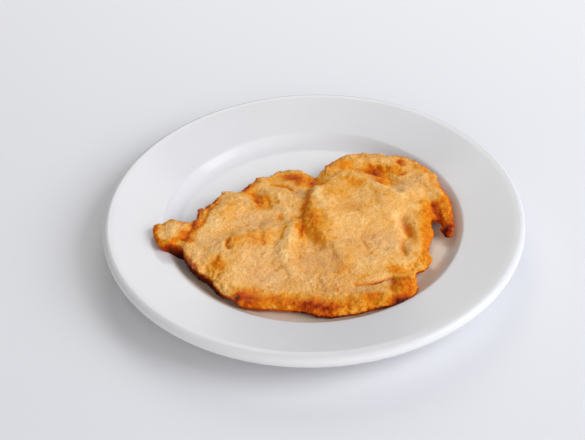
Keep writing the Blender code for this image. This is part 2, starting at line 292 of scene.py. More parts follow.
class Effects:
    """The shader node groups that more than one finish uses, each built once."""

    def __init__(self) -> None:
        """Build the groups."""
        self.toast = self._toast()
        self.grain = self._grain()

    @staticmethod
    def _toast() -> bpy.types.NodeTree:
        """Turn how far the crust is fried, and how dusty it is, into its colour.

        Returns:
            The group.
        """
        group, graph, given, result = new_group(
            "Toast", {"Browning": ("NodeSocketFloat", 0.3), "Flour": ("NodeSocketFloat", 0.0)},
            {"Color": "NodeSocketColor"})
        fried = graph.ramp(given["Browning"], (
            (0.00, srgb(253, 212, 138)),
            (0.12, srgb(247, 191, 110)),
            (0.24, srgb(239, 169, 60)),
            (0.34, srgb(234, 145, 14)),
            (0.44, srgb(224, 122, 1)),
            (0.55, srgb(209, 99, 0)),
            (0.66, srgb(192, 78, 0)),
            (0.76, srgb(170, 58, 0)),
            (0.86, srgb(140, 40, 0)),
            (1.00, srgb(76, 18, 0)),
        ))
        dusty = graph.blend(given["Flour"], fried, srgb(216, 170, 126))
        graph.join(dusty, result["Color"])
        return group

    @staticmethod
    def _grain() -> bpy.types.NodeTree:
        """Make the fine crumb grain: its height, a mottle and the gaps between grains, where shade is
        painted.

        Returns:
            The group.
        """
        group, graph, given, result = new_group(
            "Crumb grain", {"Vector": ("NodeSocketVector", 0.0), "Coarse": ("NodeSocketFloat", 0.5)},
            {"Height": "NodeSocketFloat", "Mottle": "NodeSocketFloat", "Shaded gaps": "NodeSocketFloat"})
        beads = []
        for scale in (950.0, 2100.0):      # coarse and fine beads in each metre
            cells = graph.add("ShaderNodeTexVoronoi")
            cells.inputs["Scale"].default_value = scale
            graph.join(given["Vector"], cells.inputs["Vector"])
            beads.append(graph.math("SUBTRACT", 0.75, cells.outputs["Distance"]))
        fine = graph.noise(given["Vector"], 1500.0, 3.0, 0.6)
        middle = graph.noise(given["Vector"], 620.0, 2.0, 0.55)
        both = graph.math("ADD", beads[0], graph.math("MULTIPLY", beads[1], 0.45))
        coarse = graph.math("MULTIPLY", both, given["Coarse"])
        height = graph.math("ADD", graph.math("MULTIPLY", fine, 0.45),
                            graph.math("MULTIPLY", middle, 0.8))
        graph.join(graph.math("ADD", height, coarse), result["Height"])
        graph.join(graph.noise(given["Vector"], 330.0, 4.0, 0.65), result["Mottle"])
        rugged = graph.math("ADD", both, graph.math("MULTIPLY", fine, 0.6))
        graph.join(graph.span(rugged, 0.35, 0.85, 1.0, 0.0), result["Shaded gaps"])
        return group


def new_material(name: str) -> tuple[bpy.types.Material, Graph, bpy.types.Node]:
    """Make a material with nodes.

    Args:
        name: the material's name.

    Returns:
        The material, its graph and its Principled shader.
    """
    material = bpy.data.materials.new(name)
    material.use_nodes = True
    return material, Graph(material.node_tree), material.node_tree.nodes["Principled BSDF"]


# ------------------------------------------------------------------------------ finishes
GAP_SHADE_COLOUR = (190.0, 120.0, 60.0)      # painted shade in the gaps between grains, multiplied over the crust's colour


@dataclass(frozen=True)
class CrustFinish:
    """Egg and crumb coating, fried in a pan: colour by browning, fine grain with painted shade in its
    gaps, and a little grease.
    """

    name: str
    mottle: float                  # how far the browning changes over a few millimetres
    bump_mm: float                 # height of the fine grain
    coarse: float                  # share of the gritty grain
    gap_shade: float                   # how much darker painted shade makes the gaps between grains
    rough_low: float
    rough_high: float
    oil_scale: float = 260.0       # spots of grease in each metre
    shine: float = 0.11            # strength of the grease's mirror

    def material(self, effects: Effects) -> bpy.types.Material:
        """Build the material.

        Args:
            effects: the shared node groups.

        Returns:
            The material.
        """
        material, graph, shader = new_material(self.name)
        place = graph.place()
        # the stored browning also holds painted shade: slopes facing left, creases, hollows and shaded
        # spots in the tables
        cooked_and_shaded = graph.stored("browning", "how far each spot is fried, with painted shade")
        flour = graph.stored("flour", "pale dusty spots")
        grain = graph.add("ShaderNodeGroup", node_tree=effects.grain)
        graph.join(place, grain.inputs["Vector"])
        grain.inputs["Coarse"].default_value = self.coarse
        patchy = graph.span(grain.outputs["Mottle"], 0.25, 0.75, -self.mottle, self.mottle)
        browning = graph.math("ADD", cooked_and_shaded, patchy, clamp=True)
        toast = graph.add("ShaderNodeGroup", node_tree=effects.toast)
        graph.join(browning, toast.inputs["Browning"])
        graph.join(flour, toast.inputs["Flour"])
        # painted shade: the gaps between grains are darkened with a warm brown
        gap_shade = graph.math("MULTIPLY", grain.outputs["Shaded gaps"], self.gap_shade)
        graph.join(graph.blend(gap_shade, toast.outputs["Color"], srgb(*GAP_SHADE_COLOUR), "MULTIPLY"),
                   shader.inputs["Base Color"])
        graph.join(graph.span(graph.noise(place, self.oil_scale), 0.3, 0.7, self.rough_low,
                              self.rough_high), shader.inputs["Roughness"])
        graph.join(graph.bump(grain.outputs["Height"], self.bump_mm), shader.inputs["Normal"])
        shader.inputs["Specular IOR Level"].default_value = self.shine
        return material


@dataclass(frozen=True)
class PorcelainFinish:
    """Fired white porcelain under a clear glaze, bare on its foot."""

    name: str = "glazed porcelain"
    body: Triple = (223.0, 223.5, 226.0)
    bare: Triple = (214.0, 210.0, 204.0)
    # painted warm reflection and bounce light of the cutlet on the glaze
    painted_bounce: Triple = (255.0, 229.0, 200.0)
    cloud_shade: float = 3.0       # how much darker the glaze is in places, of 255
    gloss: float = 0.12            # roughness of the fresh glaze
    wear: float = 0.05             # how much rougher the worn glaze is
    shine: float = 0.2             # strength of the glaze's mirror
    bending: float = 1.52          # the glaze's index of refraction
    ripple: float = 0.25           # strength of the glaze's ripples
    ripple_mm: float = 0.05        # their height
    bare_rough: float = 0.62
    bare_height_mm: float = 0.7    # the foot is bare up to here
    bare_fade_mm: float = 0.25

    def material(self) -> bpy.types.Material:
        """Build the material.

        Returns:
            The material.
        """
        material, graph, shader = new_material(self.name)
        place = graph.place()
        parts = graph.add("ShaderNodeSeparateXYZ")
        graph.join(place, parts.inputs[0])
        low = graph.span(parts.outputs["Z"], self.bare_height_mm * MM,
                         (self.bare_height_mm + self.bare_fade_mm) * MM, 1.0, 0.0)
        white = graph.cloudy(graph.noise(place, 22.0), self.body, self.cloud_shade)
        # painted warm reflection of the cutlet, multiplied over the white glaze near it
        bounce_share = graph.stored("painted_bounce", "painted warm reflection of the cutlet")
        bounced_white = graph.blend(bounce_share, white, srgb(*self.painted_bounce), "MULTIPLY")
        graph.join(graph.blend(low, bounced_white, srgb(*self.bare)), shader.inputs["Base Color"])
        worn = graph.span(graph.noise(place, 75.0, 5.0, 0.7), 0.35, 0.75, self.gloss,
                          self.gloss + self.wear)
        graph.join(graph.math("ADD", worn, graph.math("MULTIPLY", low, self.bare_rough)),
                   shader.inputs["Roughness"])
        graph.join(graph.bump(graph.noise(place, 60.0, 2.0), self.ripple_mm, self.ripple),
                   shader.inputs["Normal"])
        shader.inputs["IOR"].default_value = self.bending
        shader.inputs["Specular IOR Level"].default_value = self.shine
        return material


@dataclass(frozen=True)
class PaperFinish:
    """The plain pale floor."""

    name: str = "pale floor"
    colour: Triple = (236.0, 237.0, 241.0)
    cloud_shade: float = 1.5
    rough: float = 0.9

    def material(self) -> bpy.types.Material:
        """Build the material.

        Returns:
            The material.
        """
        material, graph, shader = new_material(self.name)
        clouds = graph.noise(graph.place(), 3.0, 2.0)
        graph.join(graph.cloudy(clouds, self.colour, self.cloud_shade),
                   shader.inputs["Base Color"])
        shader.inputs["Roughness"].default_value = self.rough
        return material


# ------------------------------------------------------------------------------ plan geometry
def along_line(points: np.ndarray, line: np.ndarray,
               closed: bool = False) -> tuple[np.ndarray, np.ndarray, np.ndarray]:
    """Measure points against a bent line, seen from above.

    Args:
        points: the points, one row each.
        line: the line's stops, one row each.
        closed: whether the last stop joins the first.

    Returns:
        Each point's distance, its side (1 left, -1 right) and its share of the way along.
    """
    starts = line if closed else line[:-1]
    ends = np.roll(line, -1, axis=0) if closed else line[1:]
    lengths = np.linalg.norm(ends - starts, axis=1)
    before = np.concatenate([[0.0], np.cumsum(lengths)])
    nearest = np.full(len(points), np.inf)
    side = np.ones(len(points))
    share = np.zeros(len(points))
    for number, (start, end) in enumerate(zip(starts, ends)):
        run = end - start
        offset = points - start
        part = np.clip(offset @ run / (run @ run), 0.0, 1.0)
        distance = np.linalg.norm(offset - part[:, None] * run, axis=1)
        closer = distance < nearest
        cross = run[0] * offset[:, 1] - run[1] * offset[:, 0]
        side[closer] = np.where(cross[closer] >= 0.0, 1.0, -1.0)
        share[closer] = (before[number] + part[closer] * lengths[number]) / before[-1]
        nearest[closer] = distance[closer]
    return nearest, side, share


def smoothstep(value: np.ndarray, low: float, high: float) -> np.ndarray:
    """Return 0 below low, 1 above high, and a smooth rise between."""
    share = np.clip((value - low) / (high - low), 0.0, 1.0)
    return share * share * (3.0 - 2.0 * share)


def bell(value: np.ndarray, width: float) -> np.ndarray:
    """Return 1 at 0 and a soft fall to nothing on both sides."""
    return np.exp(-(value / width) ** 2)


@dataclass(frozen=True)
class Patch:
    """An oval area of the crust, whose effect falls off as a bell."""

    x: float
    y: float
    half_x: float
    half_y: float
    amount: float
    turn: float = 0.0      # degrees, anticlockwise from above

    def at(self, points: np.ndarray) -> np.ndarray:
        """Work out the effect of the patch.

        Args:
            points: places seen from above, one row each.

        Returns:
            The effect at each point.
        """
        turn = math.radians(self.turn)
        offset = points - np.array((self.x, self.y))
        along = (offset[:, 0] * math.cos(turn) + offset[:, 1] * math.sin(turn)) / self.half_x
        across = (offset[:, 1] * math.cos(turn) - offset[:, 0] * math.sin(turn)) / self.half_y
        return self.amount * np.exp(-(along ** 2 + across ** 2))


@dataclass(frozen=True)
class Streak:
    """An effect along a bent line, with a flank of its own width on either side."""

    line: Line
    left: float
    right: float
    amount: float
    crisp: float = 2.0     # 2 is a round profile, less is a sharper one

    def at(self, points: np.ndarray) -> np.ndarray:
        """Work out the effect of the streak.

        Args:
            points: places seen from above, one row each.

        Returns:
            The effect at each point.
        """
        distance, side, _ = along_line(points, np.array(self.line, dtype=float))
        flank = np.where(side > 0.0, self.left, self.right)
        return self.amount * np.exp(-(distance / flank) ** self.crisp)


@dataclass(frozen=True)
class Step:
    """A sharp step down on the left of a line, which levels out again further away."""

    line: Line
    drop: float
    edge: float            # width of the steep part
    reach: float           # distance at which the ground has come back up
    full_from: float = 0.18        # share of the line by which the step has its full height
    full_to: float = 0.82          # share of the line from which it dies out

    def at(self, points: np.ndarray) -> np.ndarray:
        """Work out the height of the step.

        Args:
            points: places seen from above, one row each.

        Returns:
            The height at each point.
        """
        distance, side, share = along_line(points, np.array(self.line, dtype=float))
        ends = (smoothstep(share, 0.0, self.full_from)
                * (1.0 - smoothstep(share, self.full_to, 1.0)))
        fall = (1.0 - bell(distance, self.edge)) * bell(distance, self.reach)
        return np.where(side > 0.0, -self.drop * ends * fall, 0.0)


Part = Patch | Streak | Step


def total(parts: dict[str, Part], points: np.ndarray) -> np.ndarray:
    """Add up the effects of the parts of a table at each point."""
    return sum(part.at(points) for part in parts.values())


def outline_of(source: bpy.types.Mesh) -> np.ndarray:
    """Walk round a solid's outline, where its upper and lower sides meet.

    Args:
        source: the solid's mesh.

    Returns:
        The outline's points from above, in millimetres and in order.
    """
    solid = bmesh.new()
    solid.from_mesh(source)
    bmesh.ops.remove_doubles(solid, verts=solid.verts, dist=WELD)
    solid.normal_update()
    solid.verts.index_update()
    onward: dict[int, list[int]] = {}
    for edge in solid.edges:
        slopes = [face.normal.z for face in edge.link_faces]
        if slopes and min(slopes) < 0.0 < max(slopes):
            one, two = (corner.index for corner in edge.verts)
            onward.setdefault(one, []).append(two)
            onward.setdefault(two, []).append(one)
    loops = []
    waiting = set(onward)
    while waiting:
        loop = [max(waiting)]
        while loop[-1] in waiting:
            waiting.discard(loop[-1])
            loop += [place for place in onward[loop[-1]] if place in waiting][:1]
        loops.append(loop)
    solid.verts.ensure_lookup_table()
    outline = np.array([solid.verts[place].co[:2] for place in max(loops, key=len)]) / MM
    solid.free()
    return outline


# ------------------------------------------------------------------------------ mesh
def placed(name: str, data: bpy.types.ID) -> bpy.types.Object:
    """Put a mesh, a lamp or a camera into the scene.

    Args:
        name: the new object's name.
        data: the mesh, lamp or camera.

    Returns:
        The object.
    """
    body = bpy.data.objects.new(name, data)
    bpy.context.scene.collection.objects.link(body)
    return body


class Skin:
    """A closed mesh as arrays, its points in millimetres."""

    def __init__(self, mesh: bpy.types.Mesh) -> None:
        """Read a mesh.

        Args:
            mesh: the mesh, which later calls write to.
        """
        self.mesh = mesh
        count = len(mesh.vertices)
        flat = np.empty(count * 3)
        mesh.vertices.foreach_get("co", flat)
        self.points = flat.reshape(-1, 3) / MM
        ends = np.empty(len(mesh.edges) * 2, dtype=np.int64)
        mesh.edges.foreach_get("vertices", ends)
        self.edges = ends.reshape(-1, 2)
        self.links = np.bincount(self.edges.ravel(), minlength=count).astype(float)

    def spread(self, values: np.ndarray, rounds: int, share: float = 0.6) -> np.ndarray:
        """Average values with their neighbours along the skin.

        Args:
            values: one row for each point.
            rounds: how many times it is done.
            share: how far each value moves to its neighbours' mean.

        Returns:
            The averaged values.
        """
        one, two = self.edges[:, 0], self.edges[:, 1]
        result = values.copy()
        for _ in range(rounds):
            if result.ndim == 1:
                sums = (np.bincount(one, result[two], len(result))
                        + np.bincount(two, result[one], len(result)))
                result += share * (sums / self.links - result)
            else:
                result = np.stack([self.spread(result[:, k], 1, share)
                                   for k in range(result.shape[1])], axis=1)
        return result

    def write(self) -> None:
        """Put the points back into the mesh."""
        self.mesh.vertices.foreach_set("co", (self.points * MM).ravel())
        self.mesh.update()

    def normals(self) -> np.ndarray:
        """Work out the points' unit normals.

        Returns:
            The normals of the points as they stand.
        """
        self.write()
        flat = np.empty(len(self.points) * 3)
        self.mesh.vertex_normals.foreach_get("vector", flat)
        return flat.reshape(-1, 3)

    def read(self, name: str) -> np.ndarray:
        """Read numbers that the mesh stores.

        Args:
            name: the name that they are stored under.

        Returns:
            One number for each point.
        """
        values = np.empty(len(self.points), dtype=np.float32)
        self.mesh.attributes[name].data.foreach_get("value", values)
        return values

    def label(self, name: str, values: np.ndarray) -> None:
        """Store one number for each point under a name."""
        layer = self.mesh.attributes.new(name, "FLOAT", "POINT")
        layer.data.foreach_set("value", values.astype(np.float32))


# ------------------------------------------------------------------------------ plate
@dataclass
class Plate:
    """The turned dinner plate, with a finer section than its solid."""

    diameter: float = 260.0
    lip_height: float = 22.0
    lip_reach: float = 4.0         # width of the soft roll-off
    lip_edge_height: float = 18.2
    lip_steps: int = 16
    lip_under: float = 3.2         # radius of the curl below the lip's edge
    curl: float = 60.0             # degrees that it turns through
    curl_steps: int = 6
    shoulder_diameter: float = 186.0
    shoulder_height: float = 13.2
    shoulder_round: float = 5.0
    floor_diameter: float = 170.0
    floor_height: float = 6.0
    floor_round: float = 15.0      # a long soft curve up to the wall
    rim_thickness: float = 4.6
    wall_thickness: float = 3.6
    floor_thickness: float = 4.2
    underside_round: float = 5.0
    foot_diameter: float = 152.0
    foot_width: float = 4.5
    foot_flat: float = 2.7
    foot_shore: float = 3.0
    foot_shore_height: float = 1.4
    longest_run: float = 4.0       # of a straight piece of the section
    segments: int = 240
    bounce_reach: float = 12.0        # how far from the cutlet its painted warm reflection reaches
    bounce_slant: float = 0.35        # how much a place on the right counts as one at the front
    bounce_front: Pair = (-10.0, 25.0)      # the stretch over which the painted reflection fades in to the front
    bounce_well: Pair = (90.0, 95.0)        # the radii over which it fades out at the shoulder

    def _rounded(self, corners: list[Corner]) -> list[Vector]:
        """Round off the corners of a path.

        Args:
            corners: the corners.

        Returns:
            The points of the path.
        """
        points = []
        for number, (r, z, rounding, steps) in enumerate(corners):
            corner = Vector((r, z))
            if rounding == 0.0:
                points.append(corner)
                continue
            back = (Vector(corners[number - 1][:2]) - corner).normalized()
            on = (Vector(corners[number + 1][:2]) - corner).normalized()
            half_angle = back.angle(on) / 2.0
            centre = corner + (back + on).normalized() * (rounding / math.sin(half_angle))
            start = corner + back * (rounding / math.tan(half_angle)) - centre
            end = corner + on * (rounding / math.tan(half_angle)) - centre
            sweep = start.angle_signed(end)
            for step in range(steps + 1):
                turn = Matrix.Rotation(-sweep * step / steps, 2)
                points.append(centre + turn @ start)
        return points

    def _lip(self) -> list[Corner]:
        """Shape the lip: a long quarter oval over the top and a short curl below.

        Returns:
            The lip's corners, close together and not rounded.
        """
        drop = self.lip_height - self.lip_edge_height
        over = [(self.lip_reach, drop, 90.0 * (1.0 - step / self.lip_steps))
                for step in range(self.lip_steps + 1)]
        below = [(self.lip_under, self.lip_under, -self.curl * step / self.curl_steps)
                 for step in range(1, self.curl_steps + 1)]
        corners = []
        for reach, rise, turn in over + below:
            angle = math.radians(turn)
            corners.append((self.diameter / 2.0 - reach * (1.0 - math.cos(angle)),
                            self.lip_edge_height + rise * math.sin(angle), 0.0, 0))
        return corners

    def section(self) -> list[Vector]:
        """Lay out the section, out over the top and back along the underside.

        Returns:
            The points of the section, as radius and height.
        """
        foot = self.foot_diameter / 2.0
        foot_edge = (self.foot_width - self.foot_flat) / 2.0
        under_floor = self.floor_height - self.floor_thickness
        corners: list[Corner] = [
            (0.0, self.floor_height, 0.0, 0),
            (self.floor_diameter / 2.0, self.floor_height, self.floor_round, 10),
            (self.shoulder_diameter / 2.0, self.shoulder_height, self.shoulder_round, 10),
            *self._lip(),
            (self.shoulder_diameter / 2.0 + self.wall_thickness,
             self.shoulder_height - self.rim_thickness, self.underside_round, 6),
            (foot + self.foot_shore, self.foot_shore_height, 2.0, 4),
            (foot, foot_edge, 0.5, 3),
            (foot - foot_edge, 0.0, 0.4, 3),
            (foot - foot_edge - self.foot_flat, 0.0, 0.4, 3),
            (foot - self.foot_width, under_floor, 0.6, 3),
            (0.0, under_floor, 0.0, 0),
        ]
        return self._refined(self._rounded(corners), self.longest_run)

    @staticmethod
    def _refined(path: list[Vector], longest: float) -> list[Vector]:
        """Cut the long straight runs of a path into shorter ones.

        Args:
            path: the points of the path.
            longest: how long a run may be.

        Returns:
            The points of the finer path.
        """
        points = [path[0]]
        for start, end in zip(path, path[1:]):
            pieces = max(1, math.ceil((end - start).length / longest))
            points += [start.lerp(end, piece / pieces) for piece in range(1, pieces + 1)]
        return points

    def height_at(self, radius: np.ndarray) -> np.ndarray:
        """Measure how high the plate's upper side stands.

        Args:
            radius: distances from the plate's middle.

        Returns:
            The height at each distance.
        """
        section = self.section()
        crest = max(range(len(section)), key=lambda number: section[number].y)
        upper = section[:crest + 1]
        return np.interp(radius, [point.x for point in upper], [point.y for point in upper])

    def _paint_bounce(self, skin: Skin, outline: np.ndarray) -> None:
        """Store where a warm reflection of the cutlet is painted on the glaze: in the well, in front
        of the cutlet and beside it.

        Args:
            skin: the plate.
            outline: the cutlet's outline from above.
        """
        x, y = skin.points[:, 0], skin.points[:, 1]
        away, _, _ = along_line(skin.points[:, :2], outline, closed=True)
        front = smoothstep(self.bounce_slant * x - y, *self.bounce_front)
        well = 1.0 - smoothstep(np.hypot(x, y), *self.bounce_well)
        skin.label("painted_bounce", bell(away, self.bounce_reach) * front * well)

    def build(self, finish: PorcelainFinish, outline: np.ndarray) -> bpy.types.Object:
        """Turn the section into the plate.

        Args:
            finish: its porcelain.
            outline: the outline from above of the cutlet, whose warm reflection is painted round it.

        Returns:
            The plate.
        """
        section = self.section()[1:-1]
        turns = [math.tau * step / self.segments for step in range(self.segments)]
        rows = len(section)
        points = [(p.x * math.cos(turn) * MM, p.x * math.sin(turn) * MM, p.y * MM)
                  for turn in turns for p in section]
        top = len(points)
        points.append((0.0, 0.0, self.floor_height * MM))
        points.append((0.0, 0.0, (self.floor_height - self.floor_thickness) * MM))
        faces = []
        for number in range(self.segments):
            here = number * rows
            there = (number + 1) % self.segments * rows
            faces += [(here + k, here + k + 1, there + k + 1, there + k) for k in range(rows - 1)]
            faces.append((top, here, there))
            faces.append((top + 1, there + rows - 1, here + rows - 1))
        mesh = bpy.data.meshes.new("plate")
        mesh.from_pydata(points, [], faces)
        mesh.shade_smooth()
        mesh.materials.append(finish.material())
        self._paint_bounce(Skin(mesh), outline)
        plate = placed("dinner_plate", mesh)
        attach(plate, "root")
        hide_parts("plate")
        LOG.info("dinner plate: %d faces", len(faces))
        return plate


# ------------------------------------------------------------------------------ cutlet
def fractal(points: np.ndarray, size: float, octaves: int, seed: float) -> np.ndarray:
    """Return smooth noise from about -1 to 1 at each point.

    Args:
        points: places in millimetres.
        size: size of the largest lumps in millimetres.
        octaves: how many finer layers there are, the first included.
        seed: a shift that makes each call different.

    Returns:
        The noise.
    """
    shift = Vector((seed, 2.3 * seed, -1.7 * seed))
    return np.array([noise.fractal(Vector(p) / size + shift, 1.0, 2.0, octaves)
                     for p in points]) * 1.2


def puffs(points: np.ndarray, size: float, seed: float) -> np.ndarray:
    """Return round puffs from 0 to about 1, which meet in narrow creases at 0."""
    return np.abs(fractal(points, size, 1, seed)) * 1.4


# Lines along which the crust is both shaped and coloured.
TEAR: Line = ((22, -63.4), (26, -63.9), (30, -63.9), (33.5, -63.1), (36.4, -62.3), (38.5, -61),
              (43.5, -60.1))
MASS_CREASE: Line = ((-52.4, -28.6), (-53, -32.6), (-51.6, -35.6))
C_CREASE: Line = ((54.6, -27.5), (52.8, -31), (52, -35), (53.4, -41.5))
FINGER_LINE: Line = ((-17.5, -15.9), (-20.7, -26.1))


@dataclass(frozen=True)
class Frying:
    """How much each cause darkens the crust, where 0 is pale and 1 is charred: most causes are
    browning, while the slopes facing left, the creases, the puffs and the hollows paint shade and
    light from the relief.
    """

    upper: float = 0.13            # the whole upper side
    under: float = 0.56            # the whole underside
    spotting: float = 0.22         # how far the stains break up into spots
    edge: float = 0.07             # along the outline
    under_edge: float = 0.12       # along the outline, below
    edge_width: float = 2.6
    painted_lee_shade: float = 0.06              # painted shade: how much browner the slopes that face left, away from the key lamp, are made
    painted_lee_slopes: Pair = (0.05, 0.6)       # from none to all of it
    wander: float = 0.06           # slow changes over the crust
    wander_size: float = 10.0
    spots: float = 0.05            # quick changes
    spot_size: float = 3.2
    under_both: float = 0.10       # slow and quick ones, below
    creases: float = 0.04          # painted shade between the puffs and between the puckers
    puff_crease: Pair = (0.10, 0.6)      # width, and share of the whole
    pucker_crease: Pair = (0.12, 0.4)
    puffs: float = 0.03            # painted light: how much paler the tops of the puffs are
    hollows: float = 0.10          # painted shade in hollows, for each millimetre of depth
    dust: float = 0.8              # strength of the flour
    dust_spots: float = 0.5        # how far it breaks up into spots
    dust_most: float = 0.85        # the thickest flour


